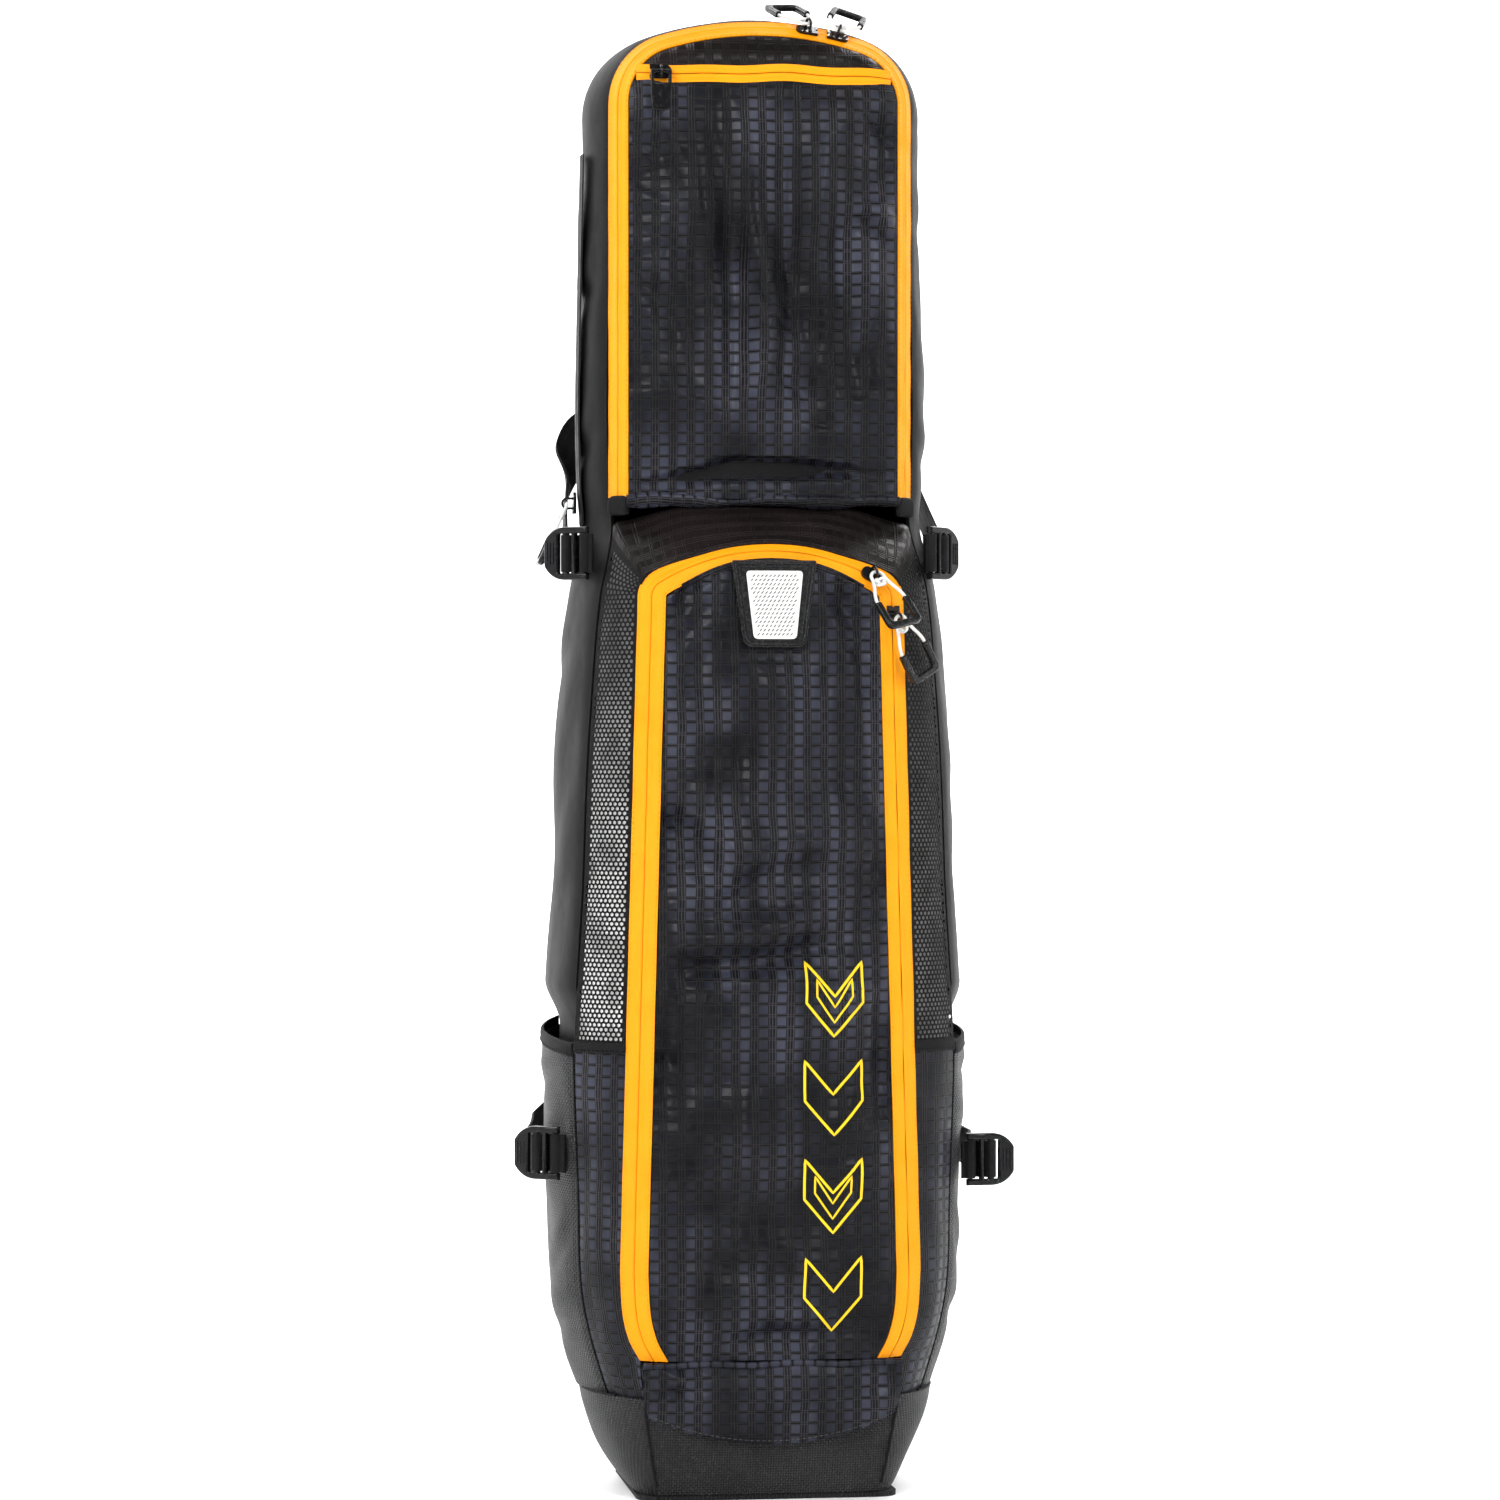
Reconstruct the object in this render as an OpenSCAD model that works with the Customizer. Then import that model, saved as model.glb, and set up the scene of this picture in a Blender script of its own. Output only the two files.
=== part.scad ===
// Padded field hockey stick bag with a zipped hood flap, a zipped front pocket with mesh gussets,
// slip pockets on both sides, two shoulder straps and a carry handle.
// It stands on its base. X is across the bag, -Y is the front, Z is up, and the origin is on the floor.

/* [Body] */
// Half width of the body at the mouths of the side pockets
body_half = 141; // [134:1:148]
// Half width of the hood
hood_half = 115; // [112:1:118]
// Half width of the base
base_half = 86; // [82:1:92]
// How far the back face lies behind the origin
back_y = 62; // [58:1:66]
// Thickness of the foam-backed cloth
cloth = 2.5; // [2:0.1:3]

/* [Hood] */
// Height of the top of the hood zip
hood_top = 972; // [965:1:978]
// Half width of the hood zip's outer edge
flap_half = 101; // [99:1:103]
// Height of the hinge line along the foot of the hood flap
flap_foot = 654; // [652:1:656]
// How far the hood zip's outer edge lies in front of the origin
flap_y = 48; // [46:1:50]

/* [Front pocket] */
// Height of the top of the pocket zip
door_top = 628; // [622:1:630]
// Half width of the pocket zip's outer edge at its foot
door_foot_half = 99; // [97:1:101]
// Half width of the pocket zip's outer edge under the arch
door_head_half = 87.5; // [85:0.5:89]
// Height of the seam under the pocket door
door_foot = 92; // [88:1:96]
// How far the pocket zip's outer edge lies in front of the origin
door_y = 98; // [96:1:102]

/* [Side pockets] */
// Height of the side pockets' mouths at the front
mouth_z = 298; // [290:1:306]
// Room between a side pocket and the side panel behind it
mouth_gap = 9; // [8:0.5:10]

/* [Straps] */
// Width of the webbing
webbing_w = 25; // [24:0.5:26]
// Thickness of the webbing
webbing_t = 1.6; // [1.4:0.1:2]
// Height of the upper pair of ladder locks
upper_lock_z = 619; // [615:1:621]
// Height of the lower pair of ladder locks
lower_lock_z = 221; // [214:1:228]

/* [Hidden] */
$fn = 32;

// Colours
black_coat = [0.10, 0.10, 0.11];
black_gloss = [0.06, 0.06, 0.08];
black_mesh = [0.04, 0.04, 0.04];
black_nylon = [0.08, 0.08, 0.08];
orange = [1.0, 0.62, 0.0];
black_plastic = [0.03, 0.03, 0.03];
white_cord = [0.92, 0.92, 0.92];

// Half width of the body against height
OUTLINE = [
    [0, base_half], [35, base_half + 17], [70, body_half - 22], [130, body_half - 6], [200, body_half - 3],
    [300, body_half], [350, body_half - 3], [400, body_half - 6], [470, body_half - 8.5], [520, body_half - 11.5],
    [590, body_half - 17.5], [636, hood_half - 1], [665, hood_half + 0.5], [720, hood_half + 1.5], [800, hood_half],
    [900, hood_half - 2],
];
boot_z = 67;           // top of the coarse boot at the sides
seam_in = 14;          // how far the side panel's front seam lies inside the outline
back_in = 20;          // how far its back seam does
seam_y = -70;          // front seam of the body
waist_low = 600;       // the front seam runs back to the hood zip between these two heights
waist_high = 655;
side_back_y = back_y - 4;
hood_corner_r = 48;    // corner and crown of the hood zip
hood_crown_r = 223;
door_corner_r = 20;    // corner and crown of the pocket zip
door_crown_r = 148;
hood_zip_across = 11;   // a zip lies on a slope: this far across and this far forward
hood_zip_drop = 16.5;
door_zip_across = 17.3;
door_zip_drop = 9.5;
zip_split = 0.7;       // half the gap between the two tapes
tape_t = 1.6;
door_bulge = 13;
flap_bulge = 13;
apex_h = 6.5;          // height of a slider's eye over its tape
gap = 1.2;             // room between neighbouring cloth panels
left = -1;
right = 1;

// ---- Small functions ----
function mix(a, b, t) = a + (b - a) * t;
function unit(v) = v / norm(v);
function steps(n) = [for (i = [0:n]) i / n];
function seg(t, pts, i = 0) = (i >= len(pts) - 2 || t < pts[i + 1][0]) ? i : seg(t, pts, i + 1);
function slope(pts, i) =
    let (a = max(i - 1, 0), b = min(i + 1, len(pts) - 1))
    (pts[b][1] - pts[a][1]) / (pts[b][0] - pts[a][0]);
// A smooth curve through stations [t, value]
function curve(t, pts) =
    let (i = seg(t, pts), h = pts[i + 1][0] - pts[i][0], s = (t - pts[i][0]) / h)
    pts[i][1] * (1 - 3 * s * s + 2 * s * s * s) + pts[i + 1][1] * (3 * s * s - 2 * s * s * s)
    + h * slope(pts, i) * s * (1 - s) * (1 - s) - h * slope(pts, i + 1) * s * s * (1 - s);
function ease(t) = let (s = min(max(t, 0), 1)) s * s * (3 - 2 * s);
function half_at(z) = curve(z, OUTLINE);
// The front seam of the side panel at a height
function seam_x(z) = half_at(z) - seam_in;
function seam_depth(z) = mix(seam_y, -flap_y, ease((z - waist_low) / (waist_high - waist_low)));

// ---- Zip lines, as right half paths of [x, z] from the foot to the top centre ----
function arch_centre(w, top, rc, rt) = top - rt + sqrt(pow(rt - rc, 2) - pow(w - rc, 2));
function arch_turn(w, rc, rt) = asin((w - rc) / (rt - rc));
function arch(w, top, rc, rt, d) =
    let (cc = arch_centre(w, top, rc, rt), a = arch_turn(w, rc, rt))
    concat(
        [for (t = steps(5)) let (q = t * (90 - a)) [w - rc + (rc - d) * cos(q), cc + (rc - d) * sin(q)]],
        [for (t = [1:4]) let (q = a * (1 - t / 4)) [(rt - d) * sin(q), top - rt + (rt - d) * cos(q)]]
    );
function hood_half_path(d) =
    concat(
        [for (z = [flap_foot + 2, 720, 780, 850]) [flap_half - d, z]],
        arch(flap_half, hood_top, hood_corner_r, hood_crown_r, d)
    );
door_side_low = 150;   // the pocket zip is straight above this height
function door_side_x(z) =
    let (cc = arch_centre(door_head_half, door_top, door_corner_r, door_crown_r))
    mix(door_foot_half, door_head_half, (z - door_side_low) / (cc - door_side_low));
function door_half_path(d) =
    concat(
        [for (s = [[door_foot + 1, 13], [door_foot + 14, 6], [door_foot + 32, 1.5]])
            [door_foot_half - s[1] - d, s[0]]],
        [for (z = [door_side_low, mouth_z - 1, mouth_z + 1, 380, 460, 540]) [door_side_x(z) - d, z]],
        arch(door_head_half, door_top, door_corner_r, door_crown_r, d)
    );
function mirrored(p) = concat([for (q = p) [-q[0], q[1]]], [for (i = [len(p) - 2:-1:0]) p[i]]);
function lift(path, y) = [for (q = path) [q[0], y, q[1]]];

// ---- Sheets of cloth: a grid of points and its copy one thickness behind it ----
function cell(v, i, n) = min(max(i, 0), n - 1);
function normal_at(g, i, j) =
    let (n = len(g), m = len(g[0]))
    unit(cross(g[cell(0, i + 1, n)][j] - g[cell(0, i - 1, n)][j],
        g[i][cell(0, j + 1, m)] - g[i][cell(0, j - 1, m)]));
// outside is a direction that points out of the bag from the sheet
module sheet(g, t, outside) {
    n = len(g);
    m = len(g[0]);
    k = n * m;
    s = normal_at(g, floor(n / 2), floor(m / 2)) * outside > 0 ? 1 : -1;
    behind = [for (i = [0:n - 1]) [for (j = [0:m - 1]) g[i][j] - s * t * normal_at(g, i, j)]];
    points = [for (r = g) each r, for (r = behind) each r];
    ahead = [
        for (i = [0:n - 2], j = [0:m - 2]) let (a = i * m + j, b = a + 1, c = a + m, d = c + 1)
            each [[a, b, d], [a, d, c], [k + a, k + d, k + b], [k + a, k + c, k + d]],
        for (i = [0:n - 2]) let (a = i * m, c = a + m, b = a + m - 1, d = b + m)
            each [[a, c, k + c], [a, k + c, k + a], [b, k + d, d], [b, k + b, k + d]],
        for (j = [0:m - 2]) let (a = j, b = j + 1, c = (n - 1) * m + j, d = c + 1)
            each [[a, k + b, b], [a, k + a, k + b], [c, d, k + d], [c, k + d, k + c]],
    ];
    polyhedron(points, s > 0 ? ahead : [for (f = ahead) [f[0], f[2], f[1]]], convexity = 6);
}
// A flat panel in the XZ plane, from y to y + t
module plate(outline, y, t) {
    translate([0, y + t, 0]) rotate([90, 0, 0]) linear_extrude(t) polygon(outline);
}
function both_sides(p) = concat(p, [for (i = [len(p) - 1:-1:0]) [-p[i][0], p[i][1]]]);
// A tube of cord along points
module tube(path, r, sides = 8) {
    n = len(path);
    rings = [for (i = [0:n - 1])
        let (
            d = unit(path[min(i + 1, n - 1)] - path[max(i - 1, 0)]),
            side = unit(cross(d, abs(d[1]) < 0.9 ? [0, 1, 0] : [1, 0, 0])),
            up = cross(side, d)
        )
        [for (k = [0:sides - 1]) path[i] + r * (cos(360 * k / sides) * side + sin(360 * k / sides) * up)]];
    faces = [
        [for (k = [0:sides - 1]) k],
        [for (k = [sides - 1:-1:0]) (n - 1) * sides + k],
        for (i = [0:n - 2], k = [0:sides - 1])
            let (a = i * sides + k, b = i * sides + (k + 1) % sides, c = a + sides, d = b + sides)
            each [[a, c, d], [a, d, b]],
    ];
    polyhedron([for (r = rings) each r], faces, convexity = 6);
}
// A strip of webbing along points: across is the direction of its width at each point
module ribbon(path, across, w, t, outside) {
    sheet([for (i = [0:len(path) - 1]) [path[i] - across[i] * w / 2, path[i] + across[i] * w / 2]], t, outside);
}

// ---- Body ----
// Point of the side wall at height z: v runs from the front seam, 0, to the back seam, 1
function wall(side, z, v, out = 0) =
    let (
        x0 = seam_x(z), x1 = half_at(z) - back_in,
        bow = (half_at(z) - (x0 + x1) / 2) * pow(sin(180 * min(max(v, 0), 1)), 0.75)
    )
    [side * (mix(x0, x1, v) + bow + out), mix(seam_depth(z), side_back_y, v), z];
// The side panel runs behind the side pocket, which stands off it
function panel_inset(z) = (mouth_gap + cloth) * (1 - ease((z - mouth_z - 9) / 30));
module side_panel(side) {
    sheet(
        [for (z = [boot_z + 3, 110, 160, 220, 270, mouth_z + 8, mouth_z + 18, mouth_z + 28, mouth_z + 40, 380, 440, 520,
                570, 605, 636, 665, 720, 800, 905])
            [for (v = [0.02, 0.14, 0.3, 0.5, 0.7, 0.86, 0.98]) wall(side, z, v, -panel_inset(z))]],
        cloth, [side, 0, 0]
    );
}
module top_cap() {
    front = mirrored(arch(flap_half, hood_top, hood_corner_r, hood_crown_r, 0));
    crest = mirrored(arch(hood_half - 2, hood_top + 4, hood_corner_r + 4, hood_crown_r, 0));
    back = mirrored(arch(hood_half - back_in, hood_top - 8, hood_corner_r, hood_crown_r, 0));
    sheet(
        [for (i = [0:len(front) - 1])
            [for (v = [0.02, 0.2, 0.5, 0.8, 0.98])
                let (
                    f = front[i], b = back[i], k = pow(sin(180 * v), 0.75),
                    p = mix(f, b, v) + (crest[i] - (f + b) / 2) * k
                )
                [p[0], mix(-flap_y, side_back_y, v), p[1]]]],
        cloth, [0, 0, 1]
    );
}
module back_panel() {
    body = [for (z = [boot_z + 4, 110, 170, 240, 310, 410, 500, 590, 645, 720, 820, 900])
        [half_at(z) - back_in - 1, z]];
    cap = arch(hood_half - back_in - 1, hood_top - 9, hood_corner_r, hood_crown_r, 0);
    plate(both_sides(concat(body, cap)), side_back_y + gap / 2, 8);
}
module divider_panel() {
    half = [for (z = [8, 40, 70, 130, 220, 310, 410, 500, 590])
        [seam_x(max(z, 70)) - 6 - panel_inset(z) - (z < 60 ? 13 : 0), z]];
    plate(both_sides(half), seam_y + 4, cloth);
}
module base_board() {
    translate([-base_half + 17, seam_y + 10, 4.2]) cube([2 * base_half - 34, side_back_y - seam_y - 16, 2]);
}

// ---- Boot ----
boot_front_y = -92;
function floor_outline(r) =
    let (x = base_half - r, y0 = boot_front_y + r, y1 = side_back_y - r)
    [for (c = [[x, y1, 0], [-x, y1, 90], [-x, y0, 180], [x, y0, 270]], t = steps(4))
        [c[0] + r * cos(c[2] + 90 * t), c[1] + r * sin(c[2] + 90 * t)]];
module boot_floor() linear_extrude(3) polygon(floor_outline(14));
hem_low = 50;          // the hem's lower edge
hem_half = 84;
module boot_front() {
    sheet(
        [for (t = steps(4)) [for (u = [-1, -0.5, 0, 0.5, 1])
            [u * mix(base_half - 17, hem_half - 10, t), mix(boot_front_y + 3, -106, t) - 3 * (1 - u * u),
                mix(3.5, hem_low - 1.5, t)]]],
        cloth, [0, -1, 0]
    );
}
module boot_side(side) {
    sheet(
        [for (t = steps(4)) let (z = mix(3.5, boot_z, t)) [for (v = steps(6))
            let (
                top = wall(side, boot_z, v),
                low_x = side * (base_half - 14 * pow(abs(2 * v - 1), 6)),
                ahead = (1 - v) * (1 - v),
                y_top = mix(-102, side_back_y - 0.5, v), y_low = mix(boot_front_y + 3, side_back_y - 3, v)
            )
            [mix(low_x, top[0] - side * 26 * ahead, pow(t, 0.8)) + side * 4 * sin(180 * t) * sin(180 * v),
                mix(y_low, y_top, t), z]]],
        cloth, [side, 0, 0]
    );
}
module boot_sides() for (side = [left, right]) boot_side(side);
module boot_back() {
    half = [[base_half - 14, 3.5], [half_at(35) - 10, 35], [half_at(boot_z) - back_in - 1, boot_z + 3]];
    plate(both_sides(half), side_back_y + gap / 2, 4);
}

// ---- Front pocket ----
door_outer = mirrored(door_half_path(0));
// Where the gusset meets the body: up the front seam, then along the foot of the hood
function gusset_root(side, z_in, q) =
    q <= 0 ? [side * (seam_x(z_in) - gap), seam_depth(z_in) - gap, z_in]
    : q < 0.5 ? let (z = mix(583, 640, 2 * q)) [side * (seam_x(z) - gap), seam_depth(z) - gap, z]
    : [side * mix(seam_x(640), 0, 2 * q - 1), mix(seam_depth(640), 2 - flap_front, ease(4 * q - 2)),
        mix(640, flap_foot - 8, ease(4 * q - 2))];
// One side of the gusset ring, as rows from the zip to the body
function gusset_rows(side, path, q) =
    [for (i = [0:len(path) - 1])
        let (a = [side * path[i][0], -door_y, path[i][1]], b = gusset_root(side, path[i][1], q[i]), d = unit(b - a))
        [for (v = [0, 0.35, 0.7, 1])
            mix(a + d * gap, b - d * gap, v) + [side * 0.7, -0.7, 0] * 2.5 * sin(180 * v)]];
corner_path = arch(door_head_half, door_top, door_corner_r, door_crown_r, 0);
module lower_gusset(side) {
    path = concat([[hem_half - 1, boot_z + 3]], [for (p = door_half_path(0)) if (p[1] < mouth_z) p]);
    sheet(gusset_rows(side, path, [for (p = path) 0]), cloth, [side, -1, 0]);
}
module mesh_gusset(side) {
    straight = [for (p = door_half_path(0)) if (p[1] > mouth_z && p[1] < 570) p];
    corner = [for (i = [0:4]) corner_path[i]];
    path = concat(straight, corner);
    sheet(gusset_rows(side, path, concat([for (p = straight) 0], [for (i = [0:4]) i / 10])), cloth, [side, -1, 0]);
}
module yoke_panel() {
    half = [for (i = [5:len(corner_path) - 1]) corner_path[i]];
    q = [for (i = [5:len(corner_path) - 1]) 0.53 + 0.47 * (i - 5) / (len(corner_path) - 6)];
    right_rows = gusset_rows(right, half, q);
    left_rows = gusset_rows(left, half, q);
    sheet(concat(left_rows, [for (i = [len(right_rows) - 2:-1:0]) right_rows[i]]), cloth, [0, -1, 1]);
}
module pocket_hem() {
    sheet(
        [for (t = steps(3)) [for (u = [-1, -0.5, 0, 0.5, 1])
            [u * hem_half, mix(-106, -door_y - door_zip_drop + 2.5, t) - 6 * sin(180 * (0.15 + 0.7 * t)) * (1 - 0.6 * u * u),
                mix(hem_low, door_foot - 4, t)]]],
        cloth, [0, -1, 0]
    );
}
// A panel that fills the inside of a zip path and swells forward
module filled(half_path, y, bulge, low, high, t) {
    rows = [for (p = half_path) if (p[0] > 12) p];
    sheet(
        [for (p = rows) [for (u = [-1, -0.8, -0.5, -0.2, 0.2, 0.5, 0.8, 1])
            [u * p[0], -y - bulge * (1 - pow(abs(u), 2.4)) * sin(180 * min(max((p[1] - low) / (high - low), 0.0), 1)), p[1]]]],
        t, [0, -1, 0]
    );
}
module door_panel() {
    filled(door_half_path(door_zip_across + 1), door_y + door_zip_drop + 0.5, door_bulge, door_foot - 10, door_top + 20, cloth);
}
badge_top = 611;
badge_low = 556;
module badge() {
    // a trapezium with rounded lower corners and a rebated field
    outline = concat([[27, badge_top - 12], [27, badge_top]], [[-27, badge_top], [-27, badge_top - 12]],
        [for (t = steps(4)) [-15 - 6 * cos(90 * t), badge_low + 6 - 6 * sin(90 * t)]],
        [for (t = steps(4)) [15 + 6 * sin(90 * t), badge_low + 6 - 6 * cos(90 * t)]]);
    field = [[19.5, badge_top - 10], [-19.5, badge_top - 10], [-15, badge_low + 7], [15, badge_low + 7]];
    rotate_about([0, -door_y - door_zip_drop - 8.5, badge_low], 4) {
        difference() {
            plate(outline, -door_y - door_zip_drop - 10.5, 3);
            plate(field, -door_y - door_zip_drop - 11.5, 1.8);
        }
    }
}
module rotate_about(p, a) translate(p) rotate([-a, 0, 0]) translate(-p) children();

// ---- Zip tapes ----
// from and to are the shares of the slope that the tape covers, 0 at its outer edge
module tape(path_of, y, drop, from, to) {
    a = mirrored(path_of == "hood" ? hood_half_path(hood_zip_across * from) : door_half_path(door_zip_across * from));
    b = mirrored(path_of == "hood" ? hood_half_path(hood_zip_across * to) : door_half_path(door_zip_across * to));
    sheet([for (i = [0:len(a) - 1]) [[a[i][0], -y - drop * from, a[i][1]], [b[i][0], -y - drop * to, b[i][1]]]],
        tape_t, [0, -1, 0.2]);
}
hood_split = zip_split / hood_zip_across;
door_split = zip_split / door_zip_across;
module hood_zip_outer() tape("hood", flap_y, hood_zip_drop, 0.02, 0.5 - hood_split);
module hood_zip_inner() tape("hood", flap_y, hood_zip_drop, 0.5 + hood_split, 0.98);
module door_zip_outer() tape("door", door_y, door_zip_drop, 0.02, 0.5 - door_split);
module door_zip_inner() tape("door", door_y, door_zip_drop, 0.5 + door_split, 0.98);
// Cloth tabs that close off the lower ends of the hood zip
module hood_zip_tabs() for (side = [left, right])
    translate([side * (flap_half - hood_zip_across / 2), -flap_y - 7, flap_foot - 5]) cube([14, 7, 9], center = true);

// ---- Hood ----
pocket_zip_z = 934;    // middle of the horizontal zip
pocket_zip_half = 8;   // half its height
flap_front = flap_y + hood_zip_drop;
module hood_pocket_panel() {
    rows = concat([for (z = [flap_foot + 4, 675, 710, 760, 820, 870, 905, pocket_zip_z - pocket_zip_half - 1]) [flap_x(z), z]], []);
    filled(rows, flap_front + 0.5, flap_bulge, flap_foot - 25, 965, cloth);
}
// Half width inside the hood zip at a height
function flap_x(z) =
    let (
        d = hood_zip_across + 1,
        cc = arch_centre(flap_half, hood_top, hood_corner_r, hood_crown_r),
        r = hood_corner_r - d
    )
    z < cc ? flap_half - d : flap_half - hood_corner_r + sqrt(max(r * r - pow(z - cc, 2), 0));
module hood_crown() {
    z0 = pocket_zip_z + pocket_zip_half + 1;
    path = [for (p = hood_half_path(hood_zip_across + 1)) if (p[1] > z0) p];
    filled(concat([[flap_x(z0), z0]], path), flap_front + 0.5, flap_bulge, flap_foot - 25, 965, cloth);
}
module hood_pocket_zip() {
    for (s = [-1, 1])
        translate([-78, -flap_front - 8 - tape_t, pocket_zip_z + (s < 0 ? -pocket_zip_half : 0.5)])
            cube([156, tape_t, pocket_zip_half - 0.5]);
}
module hood_liner() {
    path = hood_half_path(hood_zip_across + 4);
    plate(both_sides([for (p = path) if (p[0] > 2) [p[0], max(p[1], flap_foot + 6)]]), -flap_front + 2.5, 1.5);
}

// ---- Side pockets ----
function mouth_at(v) = mouth_z + 12 * v;
module side_pocket(side) {
    sheet(
        [for (t = steps(6)) [for (v = [0.0, 0.15, 0.35, 0.55, 0.75, 0.96])
            let (z = mix(boot_z + 3, mouth_at(v) - 8.5, t)) wall(side, z, v)]],
        cloth, [side, 0, 0]
    );
}
module side_pocket_binding(side) {
    sheet(
        [for (t = [0, 1]) [for (v = [0.0, 0.15, 0.35, 0.55, 0.75, 0.96])
            wall(side, mouth_at(v) - 8 * (1 - t), v, 0.3)]],
        cloth + 0.6, [side, 0, 0]
    );
}
module side_pocket_bindings() for (side = [left, right]) side_pocket_binding(side);

// ---- Sliders: x along the zip, z out of the tape, the eye's centre at apex_h ----
slider_foot = 0.7;
module slider_plate() {
    difference() {
        union() {
            translate([-3, -4.6, slider_foot]) cube([10, 9.2, 2]);
            translate([-3, 0, slider_foot]) cylinder(r = 4.6, h = 2);
        }
        translate([7.4, 0, slider_foot - 1]) rotate([0, 0, 45]) cube([3.4, 3.4, 6], center = true);
    }
}
// The eye is a loop in the plane that the pull swings in
module slider_eye() {
    for (x = [-1, 1]) translate([3.3 * x, 0, slider_foot + 1]) cylinder(r = 0.9, h = apex_h - slider_foot - 1);
    translate([0, 0, apex_h]) rotate([90, 0, 0]) rotate_extrude(angle = 180) translate([3.3, 0]) circle(r = 0.9);
}
function along(h, n) = unit(h - (h * n) * n);
module slider(p, t, n, hang) {
    stand(p, t, n) slider_plate();
    stand(p, along(hang, n), n) slider_eye();
}
// Puts a slider at a point, with its length along t and its face along n
module stand(p, t, n) {
    y = cross(n, t);
    multmatrix([[t[0], y[0], n[0], p[0]], [t[1], y[1], n[1], p[1]], [t[2], y[2], n[2], p[2]], [0, 0, 0, 1]]) children();
}
// A frame on a crown: angle from the top centre, towards the right
function on_crown(r, centre_z, y, a) = [r * sin(a), y, centre_z + r * cos(a)];
function crown_t(a) = [cos(a), 0, -sin(a)];
function crown_n(a, across, drop) = unit([drop * sin(a), -across, drop * cos(a)]);
hood_mid_r = hood_crown_r - hood_zip_across / 2;
hood_mid_y = -flap_y - hood_zip_drop / 2;
hood_slider_a = [asin(30 / hood_mid_r), asin(50 / hood_mid_r)];
door_mid_r = door_crown_r - door_zip_across / 2;
door_mid_y = -door_y - door_zip_drop / 2;
door_slider_a = 28;
door_low_z = 577;
door_side_t = unit([
    door_side_x(200) - door_side_x(500), 0, -300,
]);
door_side_n = unit(cross(door_side_t, cross([door_zip_drop, -door_zip_across, 0], door_side_t)));
door_low_p = [door_side_x(door_low_z) - door_zip_across / 2, door_mid_y, door_low_z];
side_zip_y = -12;
side_zip_x = -hood_half - 3.2;
side_slider_z = 654;
pocket_slider_x = -70;
hood_p = [for (a = hood_slider_a) on_crown(hood_mid_r, hood_top - hood_crown_r, hood_mid_y, a)];
hood_n = [for (a = hood_slider_a) crown_n(a, hood_zip_across, hood_zip_drop)];
hood_hang = [unit([-0.3, 0.88, 0.37]), unit([0.3, 0.88, 0.37])];
door_up_p = on_crown(door_mid_r, door_top - door_crown_r, door_mid_y, door_slider_a);
door_up_n = crown_n(door_slider_a, door_zip_across, door_zip_drop);
door_up_hang = unit(along([0.24, 0, -1], door_up_n) + 0.2 * door_up_n);
door_low_hang = unit([0.45, 0.16, -0.88]);
pocket_slider_p = [pocket_slider_x, -flap_front - 8 - tape_t, pocket_zip_z];
side_p = [side_zip_x, side_zip_y, side_slider_z];
side_hang = unit([-0.42, 0, -0.9]);
module hood_slider(i)
    slider(hood_p[i], (i == 0 ? 1 : -1) * crown_t(hood_slider_a[i]), hood_n[i], hood_hang[i]);
module door_slider_upper() slider(door_up_p, crown_t(door_slider_a), door_up_n, door_up_hang);
module door_slider_lower() slider(door_low_p, -door_side_t, door_side_n, door_low_hang);
module hood_pocket_slider() slider(pocket_slider_p, [-1, 0, 0], [0, -1, 0], [0, 0, -1]);
module side_slider() slider(side_p, [0, 0, -1], [-1, 0, 0], side_hang);
module side_zip() {
    for (s = [-1, 1])
        translate([side_zip_x, side_zip_y + (s < 0 ? -9 : 0.5), 640]) cube([1.6, 8.5, 244]);
}

// ---- Zip pulls: a cord loop through the slider's eye and a moulded grip on its two ends ----
// In a pull's own frame the eye is the origin, -y is where it hangs and z is out of the bag
cord_r = 1.1;
grip_r = 2.2;
grip_half = 10.5;
grip_top = -24;
grip_low = -40;
module pull_frame(p, hang, face) {
    y = -hang;
    x = cross(y, face);
    multmatrix([[x[0], y[0], face[0], p[0]], [x[1], y[1], face[1], p[1]], [x[2], y[2], face[2], p[2]], [0, 0, 0, 1]])
        children();
}
// A U of flat bar, with its two legs up
function grip_outline(r, low, top) =
    concat([[-r, top], [-r, low + 4]], [for (t = steps(3)) [-r + 4 - 4 * cos(90 * t), low + 4 - 4 * sin(90 * t)]],
        [for (t = steps(3)) [r - 4 + 4 * sin(90 * t), low + 4 - 4 * cos(90 * t)]], [[r, top]]);
module grip() {
    linear_extrude(2 * grip_r, center = true) difference() {
        polygon(grip_outline(grip_half + grip_r, grip_low - 5.4, grip_top));
        polygon(grip_outline(grip_half - grip_r, grip_low - 5.4 + 2 * grip_r, grip_top + 1));
    }
}
LOOP = [
    [10.5, -24.4], [10.1, -21], [8.8, -17], [7, -13], [5.5, -9.2], [4.75, -6.2], [4.48, -4.1], [4.23, -2.96],
    [3.45, -1.61], [1.9, -0.42],
];
module cord() {
    tube(concat([for (p = LOOP) [-p[0], p[1], 0]], [[0, 0, 0]],
        [for (i = [len(LOOP) - 1:-1:0]) [LOOP[i][0], LOOP[i][1], 0]]), cord_r);
}
module pull_at(p, n, hang) pull_frame(p + n * apex_h, hang, unit(n - (n * hang) * hang)) children();
module hood_pull_place(i) pull_at(hood_p[i], hood_n[i], hood_hang[i]) children();
module door_upper_place() pull_at(door_up_p, door_up_n, door_up_hang) children();
module door_lower_place() pull_at(door_low_p, door_side_n, door_low_hang) children();
module side_place() pull_at(side_p, [-1, 0, 0], side_hang) children();
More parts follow.
